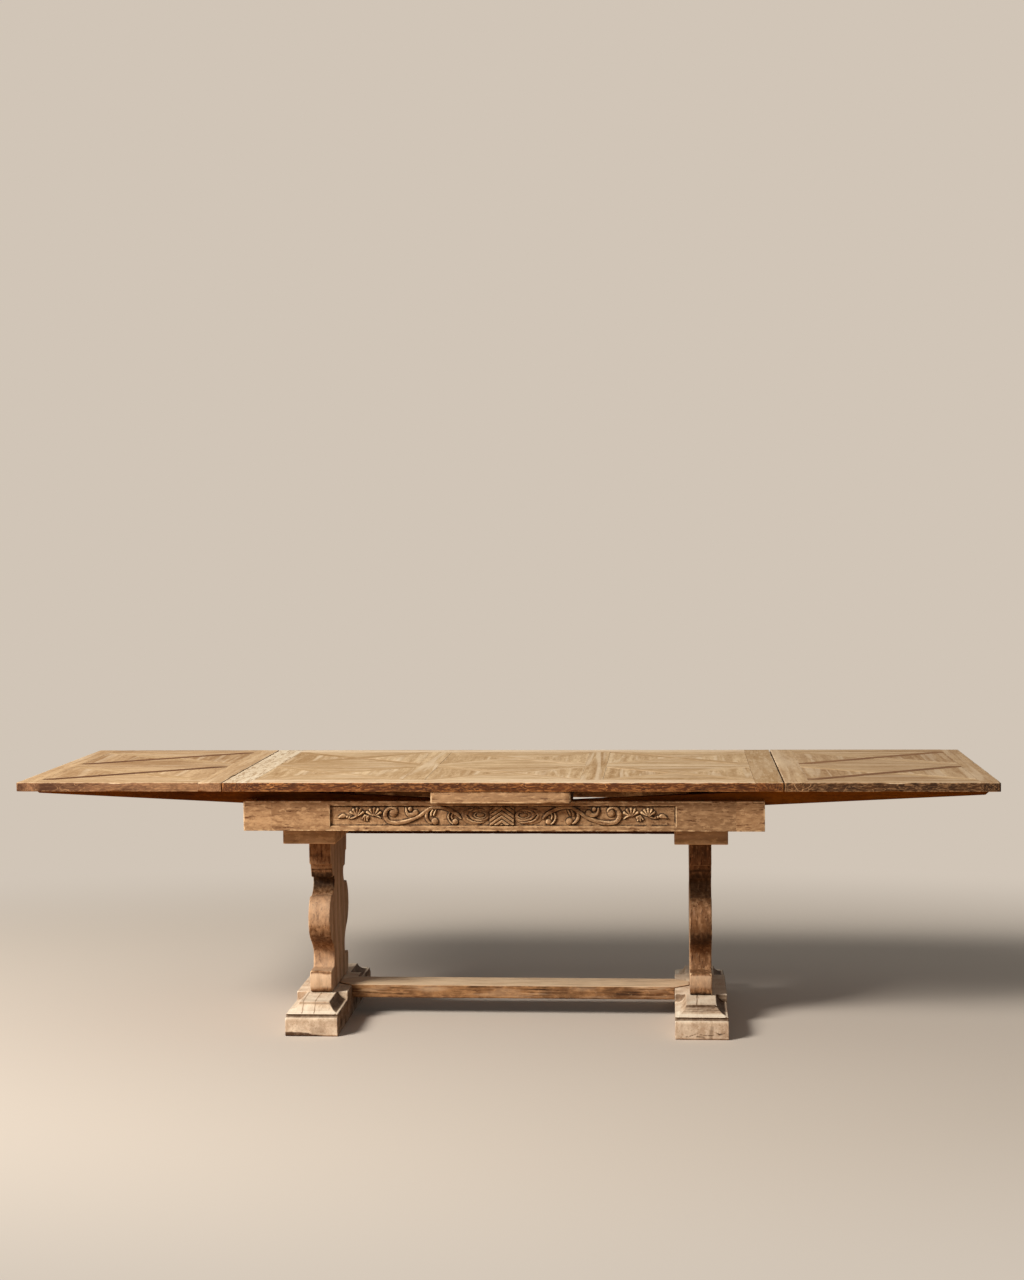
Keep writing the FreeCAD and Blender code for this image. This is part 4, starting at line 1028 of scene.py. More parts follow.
def outline_sheet(name, rings, lath, seed):
    """Flat faces on the ground boards, one for each lath or panel, with what the tree reads."""
    sizes = bpy.context.scene.board_sizes
    points, faces, moves, grains, tones, lifts = [], [], [], [], [], []
    rng = np.random.default_rng(seed)
    for ring in rings:
        start = len(points)
        inward = corner_moves(ring)
        angle = grain_angle(ring, lath)
        turn = np.array([[math.cos(angle), math.sin(angle)], [-math.sin(angle), math.cos(angle)]])
        shift = rng.uniform(-GRAIN_SHIFT, GRAIN_SHIFT, 3)
        tone = rng.uniform(0, 1)
        lift = rng.uniform(0, 1)
        for place, move in zip(ring, inward):
            points.append((*(place + move * sizes.joint / 2), GROUND_FACE))
            moves.append((*move, 0))
            grains.append((*(turn @ (place - ring.mean(0))) + shift[:2], shift[2]))
            tones.append(tone)
            lifts.append(lift)
        faces.append(range(start, len(points)))
    piece = new_object(name, points, faces)
    store(piece, "inward", moves, "FLOAT_VECTOR")
    store(piece, "grain", grains, "FLOAT_VECTOR")
    store(piece, "tone", tones)
    store(piece, "lift", lifts)
    return piece


def geometry_tree(name, numbers, counts=()):
    """An empty tree for a modifier with named inputs, and its shop, input node and output node."""
    tree = bpy.data.node_groups.new(name, "GeometryNodeTree")
    tree.is_modifier = True
    inputs = [("Geometry", "NodeSocketGeometry")]
    inputs += [(label, FLOAT) for label in numbers]
    inputs += [(label, "NodeSocketInt") for label in counts]
    inputs += [("Material", "NodeSocketMaterial")]
    for label, kind in inputs:
        tree.interface.new_socket(label, in_out="INPUT", socket_type=kind)
    tree.interface.new_socket("Geometry", in_out="OUTPUT", socket_type="NodeSocketGeometry")
    shop = Shop(tree)
    return tree, shop, shop.add("NodeGroupInput").outputs, shop.add("NodeGroupOutput")


def end_tree(shop, given, out, geometry):
    """Ends a tree in real pieces with their material."""
    real = shop.add("GeometryNodeRealizeInstances", {"Geometry": geometry})
    dressed = shop.add("GeometryNodeSetMaterial", {
        "Geometry": real.outputs[0], "Material": given["Material"]})
    shop.feed(out.inputs[0], dressed.outputs[0])


def run_tree(piece, name, make_tree, values):
    """Shapes a piece by a tree, which is made on its first use, and keeps the plain mesh."""
    tree = bpy.data.node_groups.get(name) or make_tree(name)
    modifier = piece.modifiers.new(name, "NODES")
    modifier.node_group = tree
    for item in tree.interface.items_tree:
        if item.item_type == "SOCKET" and item.in_out == "INPUT" and item.name in values:
            modifier[item.identifier] = values[item.name]
    applied(piece)


def make_inlay_tree(name):
    """Geometry nodes that raise flat outlines into pieces of wood with rubbed upper edges."""
    tree, shop, given, out = geometry_tree(name, ("Thickness", "Chamfer", "Unevenness"))

    def named(label, kind):
        return shop.add("GeometryNodeInputNamedAttribute", {"Name": label}, data_type=kind).outputs[0]

    def raised(mesh, rise, selection=True):
        return shop.add("GeometryNodeExtrudeMesh", {
            "Mesh": mesh, "Selection": selection, "Offset": up, "Offset Scale": rise,
            "Individual": False}).outputs

    def drawn_in(sheet, reach):
        move = shop.add("ShaderNodeVectorMath", operation="SCALE")
        shop.feed(move.inputs[0], named("inward", "FLOAT_VECTOR"))
        shop.feed(move.inputs["Scale"], reach)
        return shop.add("GeometryNodeSetPosition", {
            "Geometry": sheet["Mesh"], "Selection": sheet["Top"], "Offset": move.outputs[0]}).outputs[0]

    dip = shop.times(named("lift", "FLOAT"), given["Unevenness"])
    chamfer_foot = shop.maths("SUBTRACT", given["Thickness"], given["Chamfer"])
    wall_height = shop.maths("SUBTRACT", chamfer_foot, dip)
    up = shop.add("ShaderNodeCombineXYZ", {"Z": 1.0}).outputs[0]
    walls = raised(given["Geometry"], wall_height)
    rims = raised(walls["Mesh"], given["Chamfer"], walls["Top"])
    bands = raised(drawn_in(rims, given["Chamfer"]), 0.0, rims["Top"])
    centre = drawn_in(bands, shop.times(given["Chamfer"], 5.0))
    flat_top = shop.add("GeometryNodeFieldOnDomain", {"Value": bands["Top"]},
                        data_type="BOOLEAN", domain="POINT").outputs[0]
    edge = shop.add("GeometryNodeSwitch", {"Switch": flat_top, "False": 1.0, "True": 0.0},
                    input_type="FLOAT").outputs[0]
    kept = shop.add("GeometryNodeStoreNamedAttribute", {
        "Geometry": centre, "Name": "edge", "Value": edge}, data_type="FLOAT", domain="POINT")
    end_tree(shop, given, out, kept.outputs[0])
    return tree


def close_under(piece):
    """Closes each inlaid piece underneath and points its faces outwards."""
    mesh = bmesh.new()
    mesh.from_mesh(piece.data)
    bmesh.ops.holes_fill(mesh, edges=[e for e in mesh.edges if e.is_boundary], sides=0)
    bmesh.ops.recalc_face_normals(mesh, faces=mesh.faces)
    mesh.to_mesh(piece.data)
    mesh.free()


def make_inlay(node, name, rings, lath, material, slot, stands_for, seed):
    """One set of laths or panels, raised from their outlines on the body that holds the node."""
    sizes = bpy.context.scene.board_sizes
    piece = outline_sheet(name, rings, lath, seed)
    run_tree(piece, "Inlaid pieces", make_inlay_tree, {
        "Thickness": TOP_FACE - GROUND_FACE, "Chamfer": sizes.chamfer, "Unevenness": UNEVENNESS,
        "Material": bpy.data.materials[material]})
    close_under(piece)
    return dress(piece, body_of(node), material, slot, *stands_for, soft=False)


def make_parquetry():
    """Laths and panels of the fixed top and of the leaves."""
    seed = bpy.context.scene.board_sizes.seed + 9000
    for number, field in enumerate((*TOP_FIELDS, "left_leaf", "right_leaf")):
        laths, panels = f"{field}_laths", f"{field}_panels"
        rings = flat_outlines(laths)
        rising = [ring for ring in rings if math.tan(grain_angle(ring, True)) > 0]
        falling = [ring for ring in rings if math.tan(grain_angle(ring, True)) <= 0]
        make_inlay(laths, f"{field}_rising_laths", rising, True,
                   LATH_FINISHES.get(field, "Pale laths"), "dark_parquet_oak", (laths,),
                   seed + number * 37)
        make_inlay(laths, f"{field}_falling_laths", falling, True, "Pale laths", "top_oak", (),
                   seed + number * 41)
        on_leaf = field in LATH_FINISHES
        leaf_finish = f"{field.capitalize().replace('_', ' ')} boards"
        make_inlay(panels, f"{field}_inlaid_panels", flat_outlines(panels), False,
                   leaf_finish if on_leaf else "Scrubbed top", "top_oak", (panels,), seed + number * 43)


# Carved aprons

PANEL_HALF = 498 * MM

# The carving on one half of the apron, in millimetres outwards and upwards from the middle of the
# sunk panel. A band is the points of its middle line, with its half width at each
SCROLL = ((318, 25, 3.0), (330, 20, 5.0), (336.5, 10, 6.0), (337.5, 0, 6.2), (334, -9, 6.2),
          (326, -17, 6.0), (312, -20, 6.0), (297, -19.5, 6.0), (282, -17, 6.0), (268, -13, 5.6),
          (255, -8.5, 5.2), (243, -3, 5.0), (233, 3.5, 5.0), (223, 11, 5.0), (213, 18, 5.0),
          (202, 23, 4.8), (190, 25, 4.6), (177, 24.5, 4.6), (164, 22, 4.8), (152, 17.5, 5.0),
          (141, 12, 5.0), (131, 6, 4.8), (123, -1, 4.0), (118, -7, 2.5))
BANDS = (
    SCROLL,
    ((318, 24, 3.0), (308, 21, 4.0), (304, 14, 4.0)),
    ((277, 22, 2.6), (275.5, 12, 4.0), (270, 4, 5.0), (259, 3, 6.0), (249, 8, 6.5)),
    ((207, 20, 3.0), (215.5, 12, 4.0), (218.5, 2, 4.5), (217, -8, 4.5), (211, -17, 4.0),
     (204, -21, 3.0)),
    ((199, 17, 2.5), (204, 9, 3.0), (204.5, 2, 3.0)),
    ((190, 16, 2.0), (194, 9, 2.6), (196.5, 3, 2.6)),
    ((151, 9, 2.0), (154.5, 1, 2.6), (153.5, -8, 2.8), (148, -17, 2.8), (141, -22, 2.4)),
    ((142, 7, 2.0), (144.5, -1, 2.4), (142.5, -8, 2.4)),
    ((474, -5, 1.0), (466, -2, 4.5), (459, 0, 6.5), (455, -1, 5.0)),
    ((443, -7, 1.6), (433, -6, 2.4), (424, -2, 2.6), (418, 2, 2.2)),
    ((396, 2, 2.0), (404, -9, 3.0)),
    ((395, 1, 2.0), (397, -13, 3.0)),
    ((392, 1, 2.0), (389, -13, 2.8)),
    ((368, 2, 2.0), (356, -2, 2.2), (350, -7, 1.6)),
)
# Knobs of the carving: the middle, the level and the radius of each
BULBS = ((313.5, 8.5, 11.5), (264.5, 20, 6.5), (249, 9, 9.0), (194, -15, 10.0), (134, -16, 8.5),
         (447.5, -3, 4.2), (440.5, -4, 3.0), (388, -4, 5.5))
# Grooves of the carving, given as the bands are
GOUGES = (
    ((329.5, 14, 1.6), (328.5, 4, 2.0), (325, -5, 2.0), (318, -11, 1.4)),
    ((270.5, 17, 1.2), (265, 12.5, 1.4), (257, 14, 1.2)),
    ((210, 13, 1.2), (212.5, 3, 1.4), (211.5, -5, 1.4), (206, -9, 1.2)),
    ((199.5, 8, 1.2), (200.5, 2, 1.4)),
    ((149.5, 6, 1.2), (149.5, -4, 1.4), (145.5, -13, 1.4)),
    ((101, 3, 1.6), (95, -2, 1.8)),
    ((95, -5, 1.6), (88, -9, 1.6)),
    ((88, -10, 1.4), (81, -14, 1.4)),
)
# A shell of petals: its foot, its reach, and the turns of its first and last petal from upright
SHELLS = ((419, -1, 21, 58, -58), (370, -1, 22, 58, -60))
SHELL_PETALS = 5
# The oval leaf, its eye and the square between the halves: their middles and half sizes
LEAF_MIDDLE = (78, -1)
LEAF_HALF = (41, 24)
EYE_MIDDLE = (62, 3)
EYE_HALF = (13, 7)
CARTOUCHE_HALF = (35.5, 27)
# The chevrons in the square: distance between two, their slope and their place
CHEVRON_PITCH = 12.5
CHEVRON_SLOPE = 0.7
CHEVRON_SHIFT = 102


def smooth_line(points):
    """More points on a smooth line through the given ones, with their widths."""
    line = np.array(points, float)
    ends = np.concatenate([line[:1], line, line[-1:]])
    shares = np.linspace(0, 1, 7)[:-1, None]
    runs = []
    for p0, p1, p2, p3 in zip(ends[:-3], ends[1:-2], ends[2:-1], ends[3:]):
        runs.append(0.5 * (2 * p1 + (p2 - p0) * shares + (2 * p0 - 5 * p1 + 4 * p2 - p3) * shares ** 2
                           + (3 * p1 - p0 - 3 * p2 + p3) * shares ** 3))
    return np.concatenate(runs + [line[-1:]])


def band_share(across, up, points):
    """How far across a band each place is: 0 on its middle line and 1 at its sides."""
    line = smooth_line(points)
    best = np.full(across.shape, 9.0)
    for start, end in zip(line[:-1], line[1:]):
        way = end[:2] - start[:2]
        share = np.clip(((across - start[0]) * way[0] + (up - start[1]) * way[1]) / (way @ way), 0, 1)
        away = np.hypot(across - start[0] - way[0] * share, up - start[1] - way[1] * share)
        best = np.minimum(best, away / (start[2] + (end[2] - start[2]) * share))
    return best


def band_height(across, up, points):
    """A rounded band with steep sides and a shallow channel beside its middle."""
    part = band_share(across, up, points)
    rise = np.clip(1 - np.clip(part, 0, 1) ** 3, 0, 1) ** 0.6
    wide = max(point[2] for point in points)
    channel = 0.16 * np.exp(-((part - 0.3) / 0.2) ** 2) * (wide > 4)
    return rise * (0.70 + 0.05 * min(wide, 6)) - channel * rise


def shell_height(across, up, shell):
    """Petals that fan out from one foot, with deep gouges between them."""
    middle, foot, reach, first, last = shell
    total = np.zeros_like(across)
    for turn in np.linspace(math.radians(first), math.radians(last), SHELL_PETALS):
        tip = (middle + reach * math.sin(turn), foot + reach * math.cos(turn), 4.3)
        start = (middle + 3 * math.sin(turn), foot + 3 * math.cos(turn), 1.3)
        part = band_share(across, up, (start, tip))
        total = np.maximum(total, np.clip(1 - part ** 2, 0, 1) ** 0.5)
    return total * 0.95


def oval_share(across, up, middle, half):
    return np.hypot((across - middle[0]) / half[0], (up - middle[1]) / half[1])


def leaf_height(across, up):
    """The broad oval leaf with folded rings round its eye."""
    away = oval_share(across, up, LEAF_MIDDLE, LEAF_HALF)
    eye = oval_share(across, up, EYE_MIDDLE, EYE_HALF)
    rings = 0.5 + 0.5 * np.cos(np.clip(eye - 1.2, 0, 2.6) * 6.2)
    body = np.clip(1 - away ** 5, 0, 1) ** 0.6 * (0.48 + 0.40 * rings)
    dome = np.clip(1 - eye ** 2, 0, 1) ** 0.5 * 0.95
    return np.where(eye < 1.2, np.maximum(dome, 0.25 * (away < 1)), body)


def bulb_height(across, up, bulb):
    middle, level, radius = bulb
    part = np.clip(np.hypot(across - middle, up - level) / radius, 0, 1)
    return np.clip(1 - part ** 2.6, 0, 1) ** 0.5


def cartouche_height(across, up):
    """The raised square with chevrons cut in it."""
    wide, tall = CARTOUCHE_HALF
    turns = (up + across * CHEVRON_SLOPE + CHEVRON_SHIFT) / CHEVRON_PITCH
    ridges = np.abs(turns % 1 - 0.5) * 2
    rim = smooth(wide - across, 0.0, 1.4) * smooth(tall - np.abs(up), 0.0, 1.4)
    return rim * (0.42 + 0.52 * smooth(ridges, 0.12, 0.5))


def carved_height(across, up):
    """Height of the whole carving over its ground, from 0 to 1, at places in millimetres."""
    away = np.abs(across)
    total = leaf_height(away, up)
    for band in BANDS:
        total = np.maximum(total, band_height(away, up, band))
    for shell in SHELLS:
        total = np.maximum(total, shell_height(away, up, shell))
    for bulb in BULBS:
        total = np.maximum(total, bulb_height(away, up, bulb))
    for gouge in GOUGES:
        total = total * smooth(band_share(away, up, gouge), 0.55, 1.35)
    return np.maximum(total, cartouche_height(away, up))


def spread(field, reach):
    """A field with each value spread over its neighbours in both directions."""
    weights = np.exp(-(np.arange(-2 * reach, 2 * reach + 1) / reach) ** 2)
    weights /= weights.sum()
    for axis in (0, 1):
        field = np.apply_along_axis(lambda row: np.convolve(row, weights, "same"), axis, field)
    return field


def panel_depth(x, z, half_height, seed):
    """Depth of the carving under the apron's face at a grid of places, and the panel's own share."""
    sizes = bpy.context.scene.carving_sizes
    panel_top = half_height - sizes.margin
    bead_foot = sizes.lower_margin - half_height
    flat = np.stack([x.ravel(), np.zeros(x.size), z.ravel()], 1)

    def waves(wavelength, wave_seed, height):
        return ripple(flat, wavelength, wave_seed).reshape(x.shape) * height

    drift = [waves(0.05, seed + k, 0.7) * MM for k in (5, 6)]
    heights = carved_height((x + drift[0]) / MM, (z + drift[1]) / MM)
    bead = 1 - np.sqrt(1 - np.clip((z - bead_foot) / sizes.bead, 0, 1) ** 2)
    sunk = np.minimum.reduce([smooth(PANEL_HALF - np.abs(x), 0, sizes.slope),
                              smooth(panel_top - z, 0, sizes.slope), bead])
    tooling = waves(0.006, seed + 3, 0.28) * MM
    depth = sunk * (sizes.ground - heights * sizes.relief + tooling)
    groove = MM * np.exp(-((z - bead_foot) / (0.8 * MM)) ** 2) * (np.abs(x) < PANEL_HALF)
    return np.clip(depth + groove, 0, None), sunk


def carving_marks(x, depth, sunk):
    """Painted shade, with some grime, in the carving's hollows, a painted shadow at the panel's end
    walls, and the ridges rubbed pale, partly as wear and partly as a painted highlight.
    """
    # Painted shade in the carving's hollows, with some grime
    hollow = smooth(depth - spread(depth, 3), 0.05 * MM, 0.9 * MM)
    # Painted shadow along the panel's end walls
    ends = smooth(np.abs(x) - PANEL_HALF + 6 * MM, 0, 2 * MM) * (np.abs(x) < PANEL_HALF)
    # Proud ridges, rubbed pale: partly wear and partly a painted highlight
    proud = smooth(spread(depth, 2) - depth, 0.2 * MM, 1.2 * MM)
    return np.maximum(hollow, ends * sunk), proud


def make_apron(node, way, seed):
    """An apron whose face, at the front or at the back, is carved in a sunk panel."""
    grid = bpy.context.scene.carving_sizes.grid
    boards = bpy.context.scene.board_sizes
    low, high = (np.array(corner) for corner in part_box(node))
    plain = [grid_stops(low[i], high[i], boards.arris, boards.band, boards.step) for i in range(3)]
    fine_end = PANEL_HALF + 6 * MM
    outer = plain[0][np.abs(plain[0]) > fine_end + 4 * MM]
    across = np.sort(np.concatenate([outer, np.arange(-fine_end, fine_end, grid)]))
    rows = np.arange(low[2] + 3.5 * MM, high[2] - 3 * MM, grid)
    ups = np.concatenate([plain[2][:3], rows, plain[2][-3:]])
    carved_face, plain_face = (low[1], high[1]) if way < 0 else (high[1], low[1])
    x, z = np.meshgrid(across, ups - (low[2] + high[2]) / 2, indexing="ij")
    depth, sunk = panel_depth(x, z, (high[2] - low[2]) / 2, seed)
    hollow, proud = carving_marks(x, depth, sunk)
    columns = {round(value, 6): index for index, value in enumerate(across)}
    lines = {round(value, 6): index for index, value in enumerate(ups)}

    def relief(points, flat):
        on_face = np.flatnonzero(np.abs(flat[:, 1] - carved_face) < 0.01 * MM)
        moved = points.copy()
        for index in on_face:
            column = columns[round(flat[index, 0], 6)]
            line = lines[round(flat[index, 2], 6)]
            moved[index, 1] -= way * depth[column, line]
            marks[index] = (hollow[column, line], proud[column, line])
        return moved

    marks = {}
    # Its ends are joined to the corner posts
    free = np.array([(False, False), (True, True), (True, True)])
    piece = worn_board(f"{node}_carved", low, high, seed, ALONG, relief, [across, plain[1], ups], free)
    edge = np.array([value.value for value in piece.data.attributes["edge"].data])
    # Painted shade with some grime in the carving, and a painted highlight with wear on its ridges
    shade_and_grime = np.zeros(len(edge))
    for index, (deep, raised) in marks.items():
        shade_and_grime[index] = deep
        edge[index] = max(edge[index], raised * 0.9)
    store(piece, "hollow", shade_and_grime)
    store(piece, "edge", edge)
    # A little darker towards the right, as seen from its own side
    store(piece, "patina", -0.2 * smooth(-way * points_of(piece)[:, 0], 0.1, 0.6))
    tidy_back(piece, plain_face)
    return dress(piece, body_of(node), "Frame oak", "frame_oak", node)


def tidy_back(piece, place):
    """Makes the plain back of a carved board one flat face."""
    mesh = bmesh.new()
    mesh.from_mesh(piece.data)
    inside = [v for v in mesh.verts if abs(v.co.y - place) < 0.01 * MM
              and all(abs(f.normal.y) > 0.999 for f in v.link_faces)]
    bmesh.ops.delete(mesh, geom=inside, context="VERTS")
    bmesh.ops.holes_fill(mesh, edges=[e for e in mesh.edges if e.is_boundary], sides=0)
    bmesh.ops.triangulate(mesh, faces=[f for f in mesh.faces if len(f.verts) > 4])
    bmesh.ops.recalc_face_normals(mesh, faces=mesh.faces)
    mesh.to_mesh(piece.data)
    mesh.free()


# Frame, trestles, bearers and fastenings

def make_frame():
    """Posts, end rails, blocks, cleats and the centre board."""
    aprons = ("front_apron", "back_apron")
    board_node("corner_posts", 301, ALONG, "Frame oak", "frame_oak", aprons)
    board_node("corner_blocks", 311, UPRIGHT, "Raw ground", "bearer_oak")
    board_node("guide_cleats", 321, ALONG, "Raw ground", "bearer_oak")
    for number, side in enumerate(("left", "right")):
        # The outer bearers pass the notches of the end rails closely, so these are rubbed less
        bevelled_node(f"{side}_end_rail", 331 + number, ACROSS, "Frame oak", "frame_oak",
                      radius=0.4 * MM, worn_width=0.3 * MM)
        board_node(f"{side}_cross_rail", 341 + number, ACROSS, "Dark rail", "bearer_oak")
    mark_centre_board(board_node("centre_board", 351, ALONG, "Frame oak", "frame_oak"))


def mark_centre_board(board):
    """A shabby dark band at the board's left end, and a thin dark one along its right end."""
    points = points_of(board)
    low, high = points[:, 0].min(), points[:, 0].max()
    from_left, to_right = points[:, 0] - low, high - points[:, 0]
    band = smooth(from_left, 5 * MM, 7 * MM) * smooth(16 * MM - from_left, 0, 4 * MM)
    shabby = band * smooth(ripple(points, 0.012, 353), -0.6, 0.2)
    dark_end = smooth(7 * MM - to_right, 0, 3 * MM)
    store(board, "patina", 0.15 - shabby - dark_end)


def make_grounds():
    """The ground boards under the parquetry."""
    for number, node in enumerate(("top_core", "left_leaf_core", "right_leaf_core")):
        bevelled_node(node, 401 + number, ALONG, "Raw ground", "top_oak", 0.5 * MM)


# Tone of the legs by the share of their height: -1 is darkest and 1 is bleached wood. The dark bands
# under the ledges and at each leg's foot are painted shade, partly over blackened wood
LEFT_LEG_TONES = (
    (0.000, -0.90), (0.020, -0.25), (0.045, 0.60), (0.120, 0.70), (0.130, -0.35), (0.142, 0.30),
    (0.270, 0.10), (0.310, -0.25), (0.365, -0.40), (0.400, -0.25), (0.440, 0.15), (0.560, 0.35),
    (0.615, 0.10), (0.650, -0.80), (0.670, -1.00), (0.735, -1.00), (0.750, -0.55), (0.758, 0.10),
    (0.764, -0.20), (0.770, -0.95), (0.782, 0.15), (0.855, 0.00), (0.868, -0.35), (0.885, 0.00),
    (1.000, -0.30))
RIGHT_LEG_TONES = (
    (0.000, -1.00), (0.014, -0.95), (0.028, -0.20), (0.060, 0.30), (0.120, 0.45), (0.130, -0.15),
    (0.250, -0.05), (0.290, -0.40), (0.320, -0.80), (0.380, -0.75), (0.430, -0.30), (0.520, 0.00),
    (0.580, -0.20), (0.640, -0.65), (0.740, -0.80), (0.760, -0.35), (0.772, -0.90), (0.785, -0.10),
    (0.860, -0.15), (0.880, -0.45), (1.000, -0.30))
LEG_TENON = 34 * MM
# The crack in a leg's side, as places across the table and above the floor in metres
LEG_CRACK = ((0.004, 0.09), (-0.002, 0.2), (0.003, 0.31))
CRACK_HALF = 1.9 * MM
# Tones of blackened wood, a brown seam and a stain
BLACK = -1.0
SEAM = -0.62
STAIN = -0.6


def line_mark(across, up, points, half_width):
    """1 on a line through the given points, falling to 0 at its sides."""
    ends = [(x, z, half_width) for x, z in points]
    return smooth(1 - band_share(across, up, ends), 0, 0.7)


def toward(tone, value, share):
    """Tones moved by a share of the way to one value."""
    return tone + (value - tone) * share


# Each patina below takes a piece's points, their normals and its seed

def leg_patina(tones, crack_way):
    """Bands of tone down a leg's front and back, with painted shade under its ledges and at its foot,
    and pale sides, painted light, with one long crack.
    """
    levels, values = zip(*tones)

    def patina(points, normals, seed):
        low, high = points[:, 2].min(), points[:, 2].max()
        share = (points[:, 2] - low - LEG_TENON) / (high - low - 2 * LEG_TENON)
        drift = ripple(points, 0.05, seed + 5) * 0.007
        bands = np.interp(share + drift, levels, values)
        streaks = ripple(points * (1, 1, 0.12), 0.012, seed + 6) * 0.18
        ends = smooth(np.abs(normals[:, 1]) + np.abs(normals[:, 2]), 0.3, 0.8)
        # Painted light: the sides are kept pale in place of a lamp that would light them
        sides = 0.45 + ripple(points * (1, 1, 0.15), 0.05, seed + 7) * 0.3
        tone = ends * (bands + streaks * (bands < 0)) + (1 - ends) * sides
        crack = line_mark(points[:, 1], points[:, 2], LEG_CRACK, CRACK_HALF)
        cracked = crack * (normals[:, 0] * crack_way > 0.7)
        return toward(tone, BLACK, cracked)

    return patina


def bolster_patina(points, normals, seed):
    """A bolster is darker along its upper edge."""
    low, high = points[:, 2].min(), points[:, 2].max()
    share = (points[:, 2] - low) / (high - low)
    waves = ripple(points * (0.35, 1, 2.5), 0.05, seed + 5) * 0.45
    return 0.38 - 0.5 * smooth(share + waves * 0.3, 0.6, 1.0) + waves


def stretcher_patina(points, normals, seed):
    """The stretcher is bleached above and blackened in long streaks near its upper arris."""
    high = points[:, 2].max()
    above = smooth(normals[:, 2], 0.5, 0.9)
    down = (high - points[:, 2]) / (40 * MM)
    streaks = smooth(ripple(points * (0.05, 1, 1), 0.007, seed + 5), 0.05, 0.5)
    patches = smooth(ripple(points * (0.5, 1, 0.3), 0.10, seed + 6), -0.5, 0.2)
    upper = smooth(1.0 - down, 0, 0.6) * smooth(down, 0.02, 0.08)
    waves = ripple(points * (0.2, 1, 1), 0.03, seed + 7) * 0.3
    front = 0.05 + waves - streaks * patches * upper * 1.1 - 0.6 * smooth(down, 0.88, 1.0)
    return above * (0.8 + waves * 0.4) + (1 - above) * front


# Levels of the feet: the toe's top, the rim in the quirk, the lip over it and the deck
TOE_TOP = 54 * MM
RIM = 58.8 * MM
LIP_LOW = 63 * MM
LIP_HIGH = 66 * MM
DECK_EDGE = 85 * MM
DECK = 89 * MM
# Distances from a foot's middle at which its mouldings begin and its toe ends
MOULDED_FROM = 262 * MM
TOE_END = 334 * MM
# Marks in metres: over the deck as places along and across the table, on the toe's end as places
# along the table and above the floor
LEFT_FOOT_SEAMS = (
    ((-0.6073, -0.15), (-0.606, -0.2456), (-0.6, -0.334)),
    ((-0.5687, -0.16), (-0.5694, -0.2577), (-0.5643, -0.334)))
RIGHT_FOOT_CRACK = ((0.5587, -0.15), (0.556, -0.2834), (0.558, -0.292))
RIGHT_BASE_CRACKS = (
    ((0.524, 0.010), (0.540, 0.013), (0.554, 0.018), (0.569, 0.015), (0.588, 0.012), (0.604, 0.016)),
    ((0.546, 0.008), (0.560, 0.010), (0.578, 0.006)),
    ((0.611, 0.021), (0.622, 0.017), (0.636, 0.020)))
RIGHT_BASE_STAIN = ((0.599, 0.036), (0.596, 0.018), (0.594, 0.0))


def foot_mouldings(points, normals, seed, painted_side_shade):
    """Tone that both feet share: painted shade in the quirks, the scoops and a line under the deck's
    edge, a painted highlight on the lips, paler upward faces, and painted shade on one side.
    """
    x, y, z = points.T
    out = np.abs(y)
    moulded = smooth(out, MOULDED_FROM, MOULDED_FROM + 8 * MM)
    above = smooth(normals[:, 2], 0.6, 0.95)
    tone = -0.02 + ripple(points, 0.06, seed + 5) * 0.25
    # Paler upward faces, and painted shade on the side that faces +X
    tone = tone + 0.4 * above - painted_side_shade * smooth(normals[:, 0], 0.6, 0.9)
    # Painted shade in the quirk and along the toe's top, with a lighter line at the quirk's rim
    quirk = smooth(z, TOE_TOP - 0.5 * MM, TOE_TOP + 1.5 * MM) * smooth(LIP_LOW + MM - z, 0, 1.5 * MM)
    quirk = quirk * (1 - 0.4 * np.exp(-((z - RIM) / MM) ** 2))
    toe_line = (np.abs(z - TOE_TOP) < 1.5 * MM) * smooth(TOE_END - out, 0, 2 * MM)
    # Painted shadow line under the deck's edge
    under_deck = np.exp(-((z - DECK_EDGE + MM) / (1.6 * MM)) ** 2) * (np.abs(normals[:, 1]) > 0.4)
    # Painted highlight along the lip
    lip = smooth(z, LIP_LOW, LIP_LOW + MM) * smooth(LIP_HIGH + 2 * MM - z, 0, 2 * MM)
    # Painted shade in the scoops
    scoop = smooth(np.abs(normals[:, 0]), 0.12, 0.3) * smooth(normals[:, 2], 0.05, 0.3)
    scoop = scoop * smooth(z, 40 * MM, 50 * MM) * smooth(normals[:, 0], -0.3, 0.2)
    tone = toward(tone, 0.8, moulded * lip)
    tone = toward(tone, -0.75, moulded * np.maximum.reduce([quirk, toe_line, under_deck * 0.8]))
    return toward(tone, -0.8, scoop)


def left_foot_patina(points, normals, seed):
    """Two brown seams run over the left foot, and its toe is blackened along the floor."""
    tone = foot_mouldings(points, normals, seed, painted_side_shade=0.6)
    x, y, z = points.T
    for seam in LEFT_FOOT_SEAMS:
        tone = toward(tone, SEAM, line_mark(x, y, seam, CRACK_HALF) * smooth(z, LIP_LOW, LIP_HIGH))
    strip = 14 * MM + ripple(points, 0.03, seed + 8) * 2 * MM - smooth(x, -0.62, -0.53) * 10 * MM
    worn = smooth(strip - z, 0, 2 * MM) * smooth(-0.53 - x, 0, 12 * MM) * (y < -0.3)
    return toward(tone, BLACK, worn)


